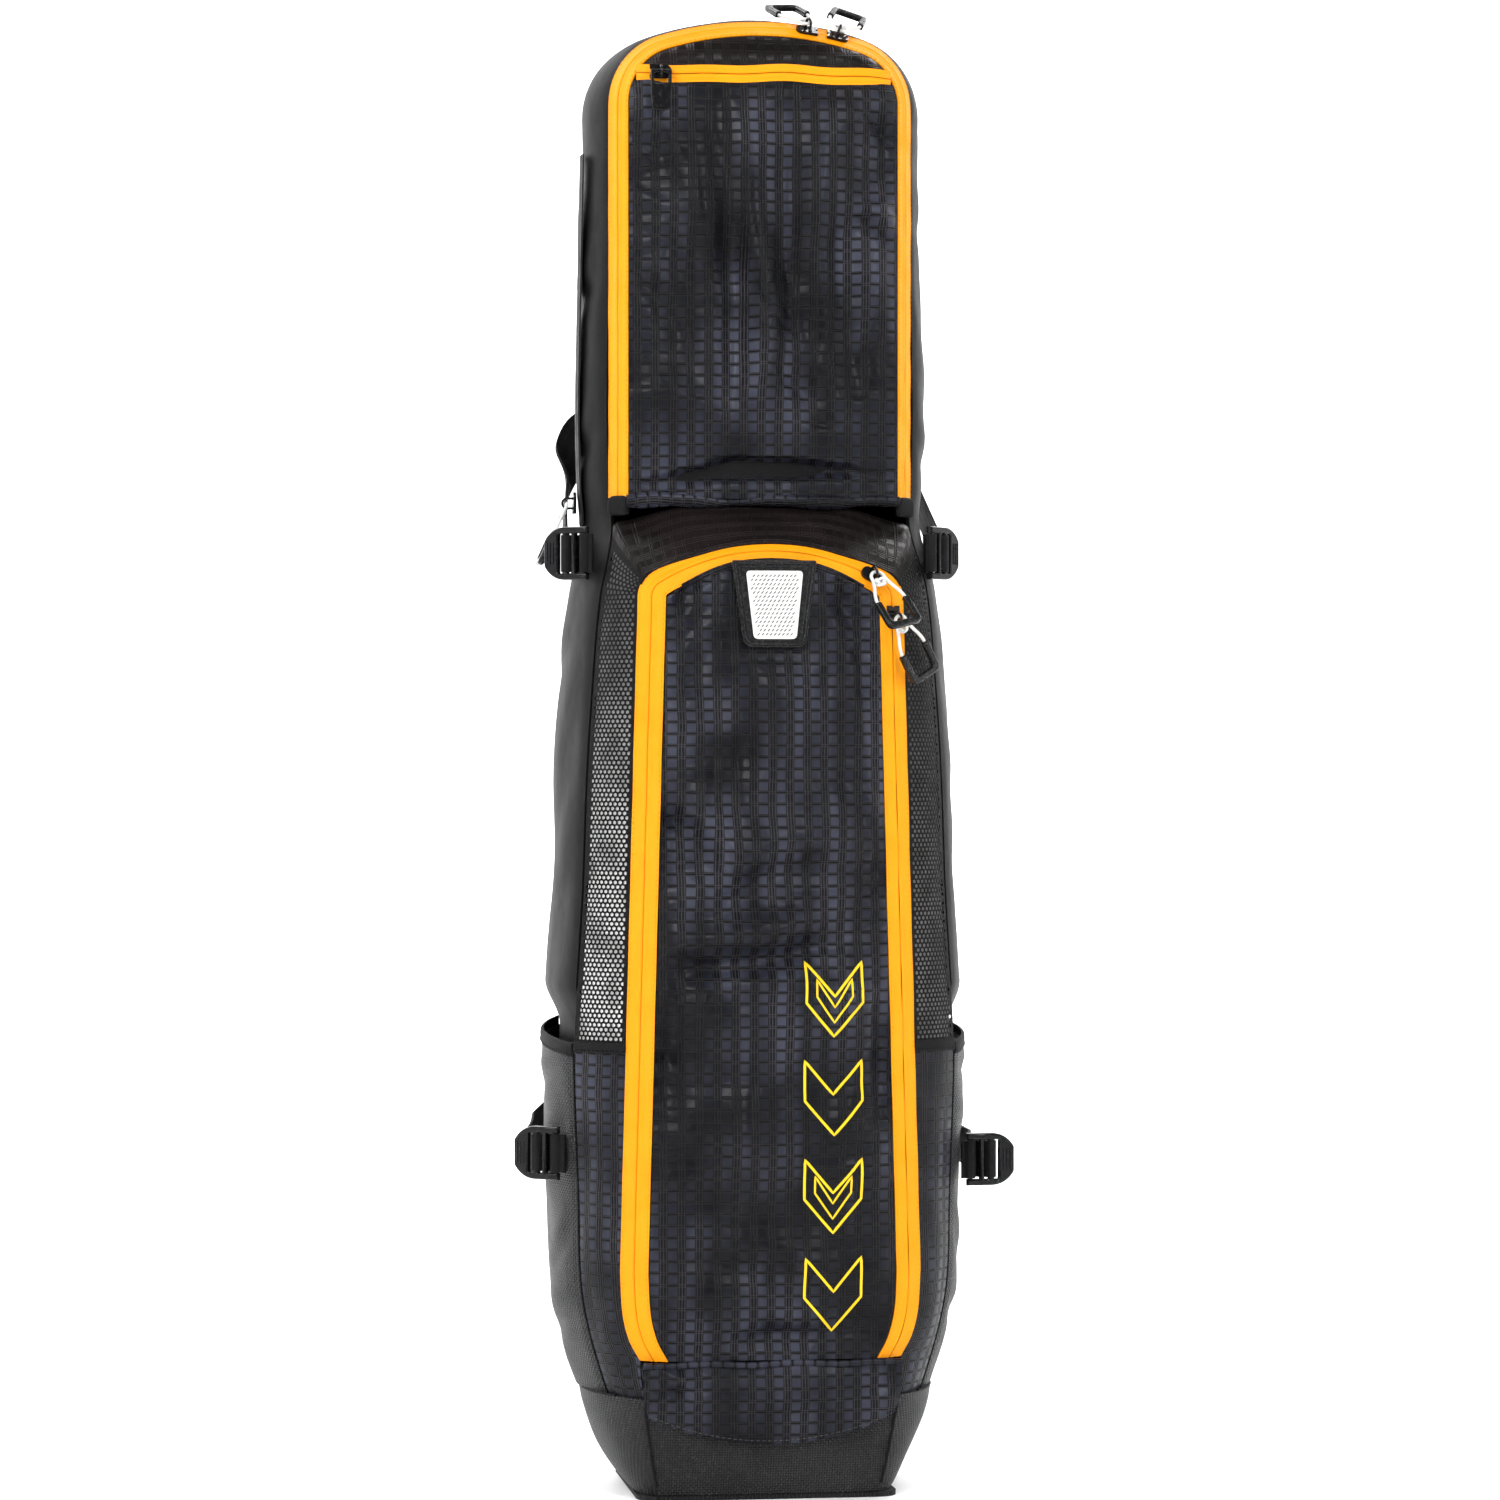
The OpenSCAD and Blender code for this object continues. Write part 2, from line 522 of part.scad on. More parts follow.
module hood_pocket_tab() {
    translate(pocket_slider_p - [0, apex_h, 0]) {
        rotate([0, 90, 0]) cylinder(r = 1, h = 14, center = true);
        for (s = [-1, 1]) translate([s * 6 - 1, -1, -9]) cube([2, 2, 9]);
        translate([-6, -1.2, -26]) cube([12, 2.4, 17]);
    }
}

// ---- Ladder locks: x away from the bag, z along the webbing's width, the pivot bar at the origin ----
lock_reach = 30;
lock_t = 5;
module ladder_lock() {
    slot = webbing_w + 1;
    half = slot / 2 + 4.5;
    rotate([90, 0, 0]) difference() {
        union() {
            translate([2.5, -half, -lock_t / 2]) cube([15.5, 2 * half, lock_t]);
            translate([15, 0, -lock_t / 2]) intersection() {
                cylinder(r = half, h = lock_t);
                translate([0, -half, 0]) cube([half - 2, 2 * half, lock_t]);
            }
            for (s = [-1, 1]) translate([-2.4, s > 0 ? slot / 2 : -half, -lock_t / 2]) cube([6, 4.5, lock_t]);
        }
        translate([-3, -slot / 2, -lock_t]) cube([9.5, slot, 2 * lock_t]);
        translate([9.5, -slot / 2, -lock_t]) cube([3.4, slot, 2 * lock_t]);
        translate([16.4, -slot / 2, -lock_t]) cube([3.4, slot, 2 * lock_t]);
    }
    cylinder(r = 1.8, h = slot + 2, center = true);
}
// Lock places: [side, x, y, z, turn of the lock's face from the front towards its own side, webbing behind it]
function lock_place(i) = [
    [left, 118, -60, upper_lock_z, 38, 6], [right, 111, -70, upper_lock_z + 1, 46, 4],
    [left, 137, -59, lower_lock_z + 4, 35, 7], [right, 141, -50, lower_lock_z - 4, 8, 6],
][i];
module at_lock(i) {
    p = lock_place(i);
    translate([p[0] * p[1], p[2], p[3]]) mirror([p[0] < 0 ? 1 : 0, 0, 0]) rotate([0, 0, p[4]]) children();
}
// The anchor webbing: a sleeve round the pivot bar and a flat run back to the seam
module lock_anchor(i) {
    p = lock_place(i);
    run = p[5];
    at_lock(i) {
        difference() {
            union() {
                cylinder(r = 3.7, h = webbing_w, center = true);
                translate([-run, -1.2, -webbing_w / 2]) cube([run, 2.4, webbing_w]);
            }
            cylinder(r = 2.2, h = webbing_w + 2, center = true);
        }
    }
}
module lock_anchors() for (i = [0:3]) lock_anchor(i);

// ---- Shoulder straps on the back ----
strap_y = back_y + 5.2;
// Middle line of the right strap as [x, stand-off, z], from the lower webbing to the upper one
STRAP = [
    [92, 2, 290], [86, 6, 330], [76, 11, 390], [66, 15, 450], [60, 17, 510], [58, 17, 570], [60, 14, 625],
    [67, 9, 665], [78, 4, 692],
];
strap_w = 54;
strap_t = 9;
module shoulder_strap(side) {
    line = [for (p = STRAP) [side * p[0], strap_y + p[1] + strap_t, p[2]]];
    n = len(line);
    across = [for (i = [0:n - 1])
        unit(cross(unit(line[min(i + 1, n - 1)] - line[max(i - 1, 0)]), [0, 1, 0]))];
    rows = [for (i = [0:n - 1]) let (w = strap_w * (i == 0 || i == n - 1 ? 0.36 : i == 1 || i == n - 2 ? 0.47 : 0.5))
        [line[i] - across[i] * w, line[i] - across[i] * w * 0.5 + [0, 1.2, 0], line[i] + across[i] * w * 0.5 + [0, 1.2, 0],
            line[i] + across[i] * w]];
    sheet(rows, strap_t, [0, 1, 0]);
}
// Webbing from the strap's top end over to the upper lock
module upper_webbing(side) {
    path = [[82, strap_y + 4, 703], [94, strap_y + 4, 712], [108, strap_y + 3, 706], [117, 58, 684], [121, 40, 662],
        [125, 8, 638], [127, -18, 623], [127.5, -34, upper_lock_z]];
    n = len(path);
    pts = [for (p = path) [side * p[0], p[1], p[2]]];
    out = [for (p = path) unit([side * (p[1] > 60 ? 0.15 : p[1] > 45 ? 0.7 : 1), p[1] > 60 ? 1 : p[1] > 45 ? 0.7 : -0.05, 0])];
    across = [for (i = [0:n - 1]) unit(cross(unit(pts[min(i + 1, n - 1)] - pts[max(i - 1, 0)]), out[i]))];
    ribbon(pts, across, webbing_w, webbing_t, [side, 0, 0]);
}
module upper_webbings() for (side = [left, right]) upper_webbing(side);
module lower_webbing(side) {
    path = [[96, strap_y + 4, 281], [104, strap_y + 4, 262], [118, strap_y + 4.6, 246], [135, 62.5, 232], [146, 40, 224],
        [148, 12, 222], [149, -10, lower_lock_z], [146, -28, lower_lock_z]];
    n = len(path);
    pts = [for (p = path) [side * p[0], p[1], p[2]]];
    out = [for (p = path) unit([side * (p[1] > 60 ? 0.3 : 1), p[1] > 60 ? 1 : p[1] > 30 ? 0.8 : 0.05, 0])];
    across = [for (i = [0:n - 1]) unit(cross(unit(pts[min(i + 1, n - 1)] - pts[max(i - 1, 0)]), out[i]))];
    ribbon(pts, across, webbing_w, webbing_t, [side, 0, 0]);
}
module lower_webbings() for (side = [left, right]) lower_webbing(side);

// ---- Carry handle on the left back edge: x is away from the bag, its ends turn in two sewn tabs ----
handle_low = 742;
handle_high = 922;
handle_p = [-hood_half + 29, back_y + 16];
handle_turn = 180;     // direction that the handle stands out in, from +X
module at_handle() translate([handle_p[0], handle_p[1], 0]) rotate([0, 0, handle_turn]) children();
module carry_handle() {
    at_handle() {
        rows = [for (p = [[2.5, handle_low + 6], [11, handle_low + 16], [17, handle_low + 36], [20, handle_low + 66],
                [20, handle_high - 66], [17, handle_high - 36], [11, handle_high - 16], [2.5, handle_high - 6]])
            [[p[0], -10, p[1]], [p[0], 10, p[1]]]];
        sheet(rows, 3, [1, 0, 0]);
        for (z = [handle_low, handle_high]) translate([0, 0, z]) cylinder(r = 2, h = 16, center = true);
        for (s = [[handle_low, 1], [handle_high, -1]])
            translate([-2, -10, s[0] + s[1] * 7 - 1]) cube([4, 20, 2.6]);
    }
}
module handle_tabs() {
    at_handle() for (s = [[handle_low, -1], [handle_high, 1]]) translate([0, 0, s[0] + s[1] * 1.5])
        difference() {
            union() {
                cylinder(r = 4, h = 9, center = true);
                translate([-4, 0, -4.5]) cube([8, 11.2, 9]);
            }
            cylinder(r = 2.4, h = 12, center = true);
        }
}

module paint(c) color(c) children();

paint(black_nylon) back_panel();
paint(black_nylon) base_board();
paint(black_nylon) boot_floor();
paint(black_nylon) boot_front();
paint(black_nylon) boot_sides();
paint(black_nylon) boot_back();
paint(black_coat) side_panel(left);  // side_panel_left
paint(black_coat) side_panel(right);  // side_panel_right
paint(black_coat) top_cap();
paint(black_nylon) divider_panel();
paint(black_gloss) yoke_panel();
paint(black_mesh) mesh_gusset(left);  // mesh_gusset_left
paint(black_mesh) mesh_gusset(right);  // mesh_gusset_right
paint(black_gloss) lower_gusset(left);  // lower_gusset_left
paint(black_gloss) lower_gusset(right);  // lower_gusset_right
paint(black_gloss) pocket_hem();
paint(black_nylon) side_pocket(left);  // side_pocket_left
paint(black_nylon) side_pocket(right);  // side_pocket_right
paint(black_nylon) side_pocket_bindings();
paint(orange) hood_zip_outer();
paint(orange) door_zip_outer();
paint(black_coat) hood_zip_tabs();
paint(black_nylon) side_zip();
paint(black_nylon) lock_anchors();
paint(black_nylon) shoulder_strap(left);  // shoulder_strap_left
paint(black_nylon) shoulder_strap(right);  // shoulder_strap_right
paint(black_nylon) upper_webbings();
paint(black_nylon) lower_webbings();
paint(black_nylon) handle_tabs();
paint(black_gloss) hood_pocket_panel();
paint(black_gloss) hood_crown();
paint(black_nylon) hood_liner();
paint(orange) hood_zip_inner();
paint(orange) hood_pocket_zip();
paint(black_gloss) door_panel();
paint(orange) door_zip_inner();
paint(black_plastic) badge();
paint(black_plastic) hood_slider(0);  // hood_slider_left
paint(black_plastic) hood_slider(1);  // hood_slider_right
paint(black_plastic) hood_pocket_slider();
paint(black_plastic) door_slider_upper();
paint(black_plastic) door_slider_lower();
paint(black_plastic) side_slider();
paint(black_plastic) hood_pull_place(0) grip();  // hood_grip_left
paint(black_plastic) hood_pull_place(1) grip();  // hood_grip_right
paint(black_plastic) door_upper_place() grip();  // door_grip_upper
paint(black_plastic) door_lower_place() grip();  // door_grip_lower
paint(black_plastic) side_place() grip();  // side_grip
paint(white_cord) hood_pull_place(0) cord();  // hood_cord_left
paint(white_cord) hood_pull_place(1) cord();  // hood_cord_right
paint(white_cord) door_upper_place() cord();  // door_cord_upper
paint(white_cord) door_lower_place() cord();  // door_cord_lower
paint(white_cord) side_place() cord();  // side_cord
paint(black_plastic) hood_pocket_tab();
paint(black_plastic) at_lock(0) ladder_lock();  // upper_lock_left
paint(black_plastic) at_lock(1) ladder_lock();  // upper_lock_right
paint(black_plastic) at_lock(2) ladder_lock();  // lower_lock_left
paint(black_plastic) at_lock(3) ladder_lock();  // lower_lock_right
paint(black_nylon) carry_handle();
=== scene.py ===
"""Looks of a field hockey stick bag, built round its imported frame. Lengths are millimetres until build()."""
import bmesh
import bpy
import math
import numpy as np
from mathutils import Matrix, Vector
from mathutils.bvhtree import BVHTree


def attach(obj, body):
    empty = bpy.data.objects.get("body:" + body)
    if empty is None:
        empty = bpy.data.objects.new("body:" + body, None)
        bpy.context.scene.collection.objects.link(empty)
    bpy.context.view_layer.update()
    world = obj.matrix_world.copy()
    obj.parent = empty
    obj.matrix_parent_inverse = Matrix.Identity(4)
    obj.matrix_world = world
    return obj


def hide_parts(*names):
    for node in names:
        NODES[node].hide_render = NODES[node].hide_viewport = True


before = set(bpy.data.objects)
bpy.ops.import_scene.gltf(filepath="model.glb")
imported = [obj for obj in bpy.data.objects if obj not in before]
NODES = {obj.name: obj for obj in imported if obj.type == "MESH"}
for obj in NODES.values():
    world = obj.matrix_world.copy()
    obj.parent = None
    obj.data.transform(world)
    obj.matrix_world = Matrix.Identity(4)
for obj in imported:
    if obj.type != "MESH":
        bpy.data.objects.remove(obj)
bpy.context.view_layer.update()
SCENE = bpy.context.scene
MM = 0.001
LEFT, RIGHT = -1, 1
SIDES = ((LEFT, "left"), (RIGHT, "right"))
FRONT, BACK, UP = (0, -1, 0), (0, 1, 0), (0, 0, 1)

# ---- The part's own sizes, as in its source ----
HOOD_HALF, BASE_HALF, BACK_Y, CLOTH = 115, 86, 62, 2.5
HOOD_TOP, FLAP_HALF, FLAP_FOOT, FLAP_Y = 972, 101, 654, 48
DOOR_TOP, DOOR_FOOT_HALF, DOOR_HEAD_HALF, DOOR_FOOT, DOOR_Y = 628, 99, 87.5, 92, 98
MOUTH_Z, MOUTH_GAP, BOOT_Z = 298, 9, 67
WEBBING_W, WEBBING_T, UPPER_LOCK_Z, LOWER_LOCK_Z = 25, 1.6, 619, 221
OUTLINE = [
    (0, 86), (35, 103), (70, 119), (130, 135), (200, 138), (300, 141), (350, 138), (400, 135), (470, 132.5),
    (520, 129.5), (590, 123.5), (636, 114), (665, 115.5), (720, 116.5), (800, 115), (900, 113),
]
SEAM_IN, BACK_IN, SEAM_Y, SIDE_BACK_Y = 14, 20, -70, 58
HOOD_ACROSS, HOOD_DROP, DOOR_ACROSS, DOOR_DROP = 11, 16.5, 17.3, 9.5
FLAP_FRONT = FLAP_Y + HOOD_DROP
DOOR_FRONT = DOOR_Y + DOOR_DROP
HOOD_CORNER_R, HOOD_CROWN_R, DOOR_CORNER_R, DOOR_CROWN_R = 48, 223, 20, 148
DOOR_BEND = 150  # where the door's foot curve meets its straight side
APEX_H = 6.5  # from a zip to the eye of its runner
GAP = 1.2
HEM_HALF = 84


def mix(a, b, t):
    return a + (b - a) * t


def unit(v):
    v = np.asarray(v, float)
    return v / np.linalg.norm(v)


def ease(t):
    """From 0 to 1 with a soft start and end."""
    s = min(max(t, 0.0), 1.0)
    return s * s * (3 - 2 * s)


def curve(t, pts):
    """A smooth curve through stations (t, value)."""
    i = 0
    while i < len(pts) - 2 and t >= pts[i + 1][0]:
        i += 1

    def slope(k):
        a, b = max(k - 1, 0), min(k + 1, len(pts) - 1)
        return (pts[b][1] - pts[a][1]) / (pts[b][0] - pts[a][0])
    h = pts[i + 1][0] - pts[i][0]
    s = (t - pts[i][0]) / h
    up = 3 * s * s - 2 * s ** 3
    return (pts[i][1] * (1 - up) + pts[i + 1][1] * up
            + h * slope(i) * s * (1 - s) ** 2 - h * slope(i + 1) * s * s * (1 - s))


def half_at(z):
    return curve(z, OUTLINE)


def seam_x(z):
    return half_at(z) - SEAM_IN


def seam_depth(z):
    return mix(SEAM_Y, -FLAP_Y, ease((z - 600) / 55))


def arch_centre(w, top, rc, rt):
    return top - rt + math.sqrt((rt - rc) ** 2 - (w - rc) ** 2)


HOOD_ARCH = (FLAP_HALF, HOOD_TOP, HOOD_CORNER_R, HOOD_CROWN_R)
DOOR_ARCH = (DOOR_HEAD_HALF, DOOR_TOP, DOOR_CORNER_R, DOOR_CROWN_R)
REAR_ARCH = (HOOD_HALF - BACK_IN, HOOD_TOP - 8, HOOD_CORNER_R, HOOD_CROWN_R)


def arch(w, top, rc, rt, d, corner=12, crown=14):
    """The right half of an arch, from the top of its side to its middle, moved in by d."""
    cc, a = arch_centre(w, top, rc, rt), math.asin((w - rc) / (rt - rc))
    out = []
    for t in np.linspace(0, 1, corner + 1):
        q = t * (math.pi / 2 - a)
        out.append((w - rc + (rc - d) * math.cos(q), cc + (rc - d) * math.sin(q)))
    for t in np.linspace(0, 1, crown + 1)[1:]:
        q = a * (1 - t)
        out.append(((rt - d) * math.sin(q), top - rt + (rt - d) * math.cos(q)))
    return out


def hood_half_path(d):
    zs = np.linspace(FLAP_FOOT + 2, arch_centre(*HOOD_ARCH), 66)[:-1]
    return [(FLAP_HALF - d, z) for z in zs] + arch(*HOOD_ARCH, d)


def door_side_x(z):
    return mix(DOOR_FOOT_HALF, DOOR_HEAD_HALF, (z - DOOR_BEND) / (arch_centre(*DOOR_ARCH) - DOOR_BEND))


def door_half_path(d):
    low = [(DOOR_FOOT + 1, 13), (DOOR_FOOT + 14, 6), (DOOR_FOOT + 32, 1.5), (DOOR_BEND, 0)]
    zs = np.linspace(DOOR_FOOT + 1, arch_centre(*DOOR_ARCH), 116)[:-1]
    side = [((DOOR_FOOT_HALF - curve(z, low)) if z < DOOR_BEND else door_side_x(z), z) for z in zs]
    return [(x - d, z) for x, z in side] + arch(*DOOR_ARCH, d)


def loop(half):
    """A whole zip line from its right half."""
    return np.array([(-x, z) for x, z in half] + [(x, z) for x, z in half[-2::-1]])


def panel_inset(z):
    return (MOUTH_GAP + CLOTH) * (1 - ease((z - MOUTH_Z - 9) / 30))


def wall(side, z, v, out=0.0):
    """A point of the side wall: v runs from the front seam to the back one."""
    x0, x1 = seam_x(z), half_at(z) - BACK_IN
    bow = (half_at(z) - (x0 + x1) / 2) * math.sin(math.pi * min(max(v, 0), 1)) ** 0.75
    return [side * (mix(x0, x1, v) + bow + out), mix(seam_depth(z), SIDE_BACK_Y, v), z]


# ---- Meshes ----
def build(name, points, faces, uv=None, sharp=50):
    """An object from points in millimetres, with its cloth lengths in the UV map."""
    me = bpy.data.meshes.new(name)
    me.from_pydata((np.asarray(points, float) * MM).tolist(), [], faces)
    me.validate()
    if uv is not None:
        layer = me.uv_layers.new(name="cloth")
        index = np.zeros(len(me.loops), np.int32)
        me.loops.foreach_get("vertex_index", index)
        layer.data.foreach_set("uv", np.asarray(uv, np.float32)[index].ravel())
    me.polygons.foreach_set("use_smooth", [True] * len(me.polygons))
    me.set_sharp_from_angle(angle=math.radians(sharp))
    obj = bpy.data.objects.new(name, me)
    SCENE.collection.objects.link(obj)
    return obj


def grid_faces(n, m):
    """The quads of a grid of n rows and m columns."""
    i = np.arange(n * m).reshape(n, m)
    return np.stack([i[:-1, :-1].ravel(), i[:-1, 1:].ravel(), i[1:, 1:].ravel(), i[1:, :-1].ravel()], 1)


def run_of(line):
    """Each point's distance along a line."""
    return np.concatenate([[0], np.cumsum(np.linalg.norm(np.diff(line, axis=0), axis=1))])


def normals(g):
    n = np.cross(np.gradient(g, axis=0), np.gradient(g, axis=1))
    return n / np.maximum(np.linalg.norm(n, axis=2, keepdims=True), 1e-9)


def lengths_uv(g):
    """Cloth lengths in millimetres along both ways of a grid."""
    a = np.linalg.norm(np.diff(g, axis=1), axis=2)
    b = np.linalg.norm(np.diff(g, axis=0), axis=2)
    u = np.concatenate([np.zeros((len(g), 1)), np.cumsum(a, 1)], 1)
    v = np.concatenate([np.zeros((1, g.shape[1])), np.cumsum(b, 0)], 0)
    u = u - u[:, g.shape[1] // 2][:, None]
    return np.stack([u, np.repeat(v.mean(1)[:, None], g.shape[1], 1)], 2)


def sheet_parts(g, t, outside, uv=None):
    """A closed sheet of cloth: a grid of outer points and its copy t behind it."""
    g = np.asarray(g, float)
    n, m = g.shape[:2]
    nn = normals(g)
    s = 1 if nn[n // 2, m // 2] @ np.asarray(outside, float) > 0 else -1
    thick = np.asarray(t, float)
    behind = g - s * nn * (thick[..., None] if thick.ndim else thick)
    uv = lengths_uv(g) if uv is None else uv
    k = n * m
    i = np.arange(k).reshape(n, m)
    quads = grid_faces(n, m)
    edge = np.concatenate([i[0, :], i[1:, -1], i[-1, -2::-1], i[-2:0:-1, 0]])
    rim = [[p, q, q + k, p + k] for p, q in zip(edge, np.roll(edge, -1))]
    faces = np.concatenate([quads[:, [0, 3, 2, 1]], quads + k, rim])
    if s < 0:
        faces = faces[:, ::-1]
    return (np.concatenate([g.reshape(-1, 3), behind.reshape(-1, 3)]), faces.tolist(),
            np.concatenate([uv.reshape(-1, 2)] * 2))


def join_parts(parts):
    pts, faces, uvs, at = [], [], [], 0
    for p, f, u in parts:
        pts.append(p)
        uvs.append(u)
        faces += [[i + at for i in q] for q in f]
        at += len(p)
    return np.concatenate(pts), faces, np.concatenate(uvs)


def smooth_line(pts, per=6):
    """A Catmull-Rom line through points."""
    p = np.asarray(pts, float)
    p = np.concatenate([[2 * p[0] - p[1]], p, [2 * p[-1] - p[-2]]])
    out = []
    for i in range(1, len(p) - 2):
        for t in np.arange(per) / per:
            out.append(0.5 * (2 * p[i] + (p[i + 1] - p[i - 1]) * t
                              + (2 * p[i - 1] - 5 * p[i] + 4 * p[i + 1] - p[i + 2]) * t * t
                              + (3 * p[i] - p[i - 1] - 3 * p[i + 1] + p[i + 2]) * t ** 3))
    return np.array(out + [p[-2]])


def tube_parts(line, r, sides=10, closed=False):
    line = np.asarray(line, float)
    n = len(line)
    radius = np.broadcast_to(np.asarray(r, float), (n,))
    tangent = np.gradient(line, axis=0) if not closed else np.roll(line, -1, 0) - np.roll(line, 1, 0)
    tangent /= np.linalg.norm(tangent, axis=1, keepdims=True)
    side = np.cross(tangent[0], [0, 1, 0] if abs(tangent[0][1]) < 0.9 else [1, 0, 0])
    rings, uv = [], []
    along = run_of(line)
    for i in range(n):
        side = unit(side - (side @ tangent[i]) * tangent[i])
        up = np.cross(tangent[i], side)
        for k in range(sides):
            q = 2 * math.pi * k / sides
            rings.append(line[i] + radius[i] * (math.cos(q) * side + math.sin(q) * up))
            uv.append((k / sides * 2 * math.pi * radius[i], along[i]))
    faces = []
    for i in range(n if closed else n - 1):
        for k in range(sides):
            a, b = i * sides + k, i * sides + (k + 1) % sides
            j = ((i + 1) % n) * sides
            faces.append([a, b, j + (k + 1) % sides, j + k])
    if not closed:
        faces += [list(range(sides))[::-1], list(range((n - 1) * sides, n * sides))]
    return np.array(rings), faces, np.array(uv)


def ribbon_grid(line, across, width, m=9, crown=0.0):
    """A strip along a line: rows of points across its width, crowned towards its middle."""
    line, across = np.asarray(line, float), np.asarray(across, float)
    along = np.gradient(line, axis=0)
    along /= np.linalg.norm(along, axis=1, keepdims=True)
    across = across - (across * along).sum(1)[:, None] * along
    across /= np.linalg.norm(across, axis=1, keepdims=True)
    up = np.cross(along, across)
    s = np.linspace(-0.5, 0.5, m)
    w = np.broadcast_to(np.asarray(width, float), (len(line),))
    lift = crown * (1 - (2 * s) ** 2)
    return (line[:, None] + across[:, None] * (s[None, :, None] * w[:, None, None])
            + up[:, None] * lift[None, :, None])


def stitch_parts(points, normal, pitch=4.2, long=2.9, r=0.33, lift=0.1):
    """Stitches along a line of points: small spindles that lie on the cloth."""
    p, nn = np.asarray(points, float), np.asarray(normal, float)
    along = run_of(p)
    at = np.arange(pitch / 2, along[-1], pitch)

    def at_run(run, values):
        return np.stack([np.interp(run, along, values[:, i]) for i in range(3)], 1)
    mid = at_run(at, p)
    up = at_run(at, nn if nn.ndim > 1 else np.repeat(nn[None], len(p), 0))
    up /= np.linalg.norm(up, axis=1, keepdims=True)
    t = at_run(at + 0.5, p) - at_run(at - 0.5, p)
    t /= np.maximum(np.linalg.norm(t, axis=1, keepdims=True), 1e-9)
    w = np.cross(t, up)
    mid = mid + up * lift
    ring = [(-0.5, 0, -1), (-0.28, 1, 0), (-0.28, 0, 1), (-0.28, -1, 0),
            (0.28, 1, 0), (0.28, 0, 1), (0.28, -1, 0), (0.5, 0, -1)]
    pts = np.stack([mid + t * a * long + w * b * r + up * c * r for a, b, c in ring], 1)
    shape = [[1, 4, 5, 2], [2, 5, 6, 3], [0, 1, 2], [0, 2, 3],
             [7, 5, 4], [7, 6, 5], [0, 7, 4, 1], [0, 3, 6, 7]]
    faces = [[q + 8 * i for q in f] for i in range(len(mid)) for f in shape]
    return pts.reshape(-1, 3), faces, np.zeros((len(mid) * 8, 2))


def plate(name, outlines, thick, bevel, place, steps=2):
    """A moulded plate with rounded edges, from flat outlines: the first its outside, the rest holes."""
    data = bpy.data.curves.new(name, "CURVE")
    data.dimensions = "2D"
    data.fill_mode = "BOTH"
    for line in outlines:
        s = data.splines.new("POLY")
        s.points.add(len(line) - 1)
        for q, (x, y) in zip(s.points, line):
            q.co = (x * MM, y * MM, 0, 1)
        s.use_cyclic_u = True
    data.extrude = (thick / 2 - bevel) * MM
    data.bevel_depth = bevel * MM
    data.bevel_resolution = steps
    data.offset = -bevel * MM
    tmp = bpy.data.objects.new(name + "_tmp", data)
    SCENE.collection.objects.link(tmp)
    bpy.context.view_layer.update()
    me = bpy.data.meshes.new_from_object(tmp.evaluated_get(bpy.context.evaluated_depsgraph_get()))
    bpy.data.objects.remove(tmp)
    m = Matrix(place)
    m.translation *= MM
    me.transform(m)
    me.name = name
    me.materials.clear()
    me.polygons.foreach_set("use_smooth", [True] * len(me.polygons))
    me.set_sharp_from_angle(angle=math.radians(40))
    obj = bpy.data.objects.new(name, me)
    SCENE.collection.objects.link(obj)
    return obj


def frame_at(origin, x, y, z):
    return [[x[i], y[i], z[i], origin[i]] for i in range(3)] + [[0, 0, 0, 1]]


def rounded(points, radii, n=5):
    """An outline with its corners rounded: by one radius, or by a dict of radii with 0.6 for the others."""
    out = []
    for i, p in enumerate(points):
        r = radii.get(i, 0.6) if isinstance(radii, dict) else radii
        p, a, b = (np.array(q, float) for q in (p, points[i - 1], points[(i + 1) % len(points)]))
        k = min(r, 0.45 * np.linalg.norm(a - p), 0.45 * np.linalg.norm(b - p))
        p0, p1 = p + unit(a - p) * k, p + unit(b - p) * k
        for t in np.linspace(0, 1, n):
            out.append(tuple((1 - t) ** 2 * p0 + 2 * t * (1 - t) * p + t * t * p1))
    return out


def add_part(obj, parts):
    """Adds tubes or sheets to a piece's own mesh."""
    other = build("part", *join_parts(parts))
    bpy.ops.object.select_all(action="DESELECT")
    for o in (other, obj):
        o.select_set(True)
    bpy.context.view_layer.objects.active = obj
    bpy.ops.object.join()
    return obj


def finish_piece(obj, body, material, slot, *nodes):
    obj.data.materials.clear()
    obj.data.materials.append(material)
    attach(obj, body)
    if nodes:
        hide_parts(*nodes)
    return obj


def cloth(name, parts, body, material, slot, *nodes):
    return finish_piece(build(name, *join_parts(parts)), body, material, slot, *nodes)


def panel(name, g, outside, body, material, slot, node, uv=None):
    """A sheet of the bag's own cloth, its pattern laid by the two coordinates in uv, or by cloth lengths."""
    flat = uv and np.stack([g[..., "xyz".index(a)] for a in uv], 2)
    return cloth(name, [sheet_parts(g, CLOTH, outside, flat)], body, material, slot, node)


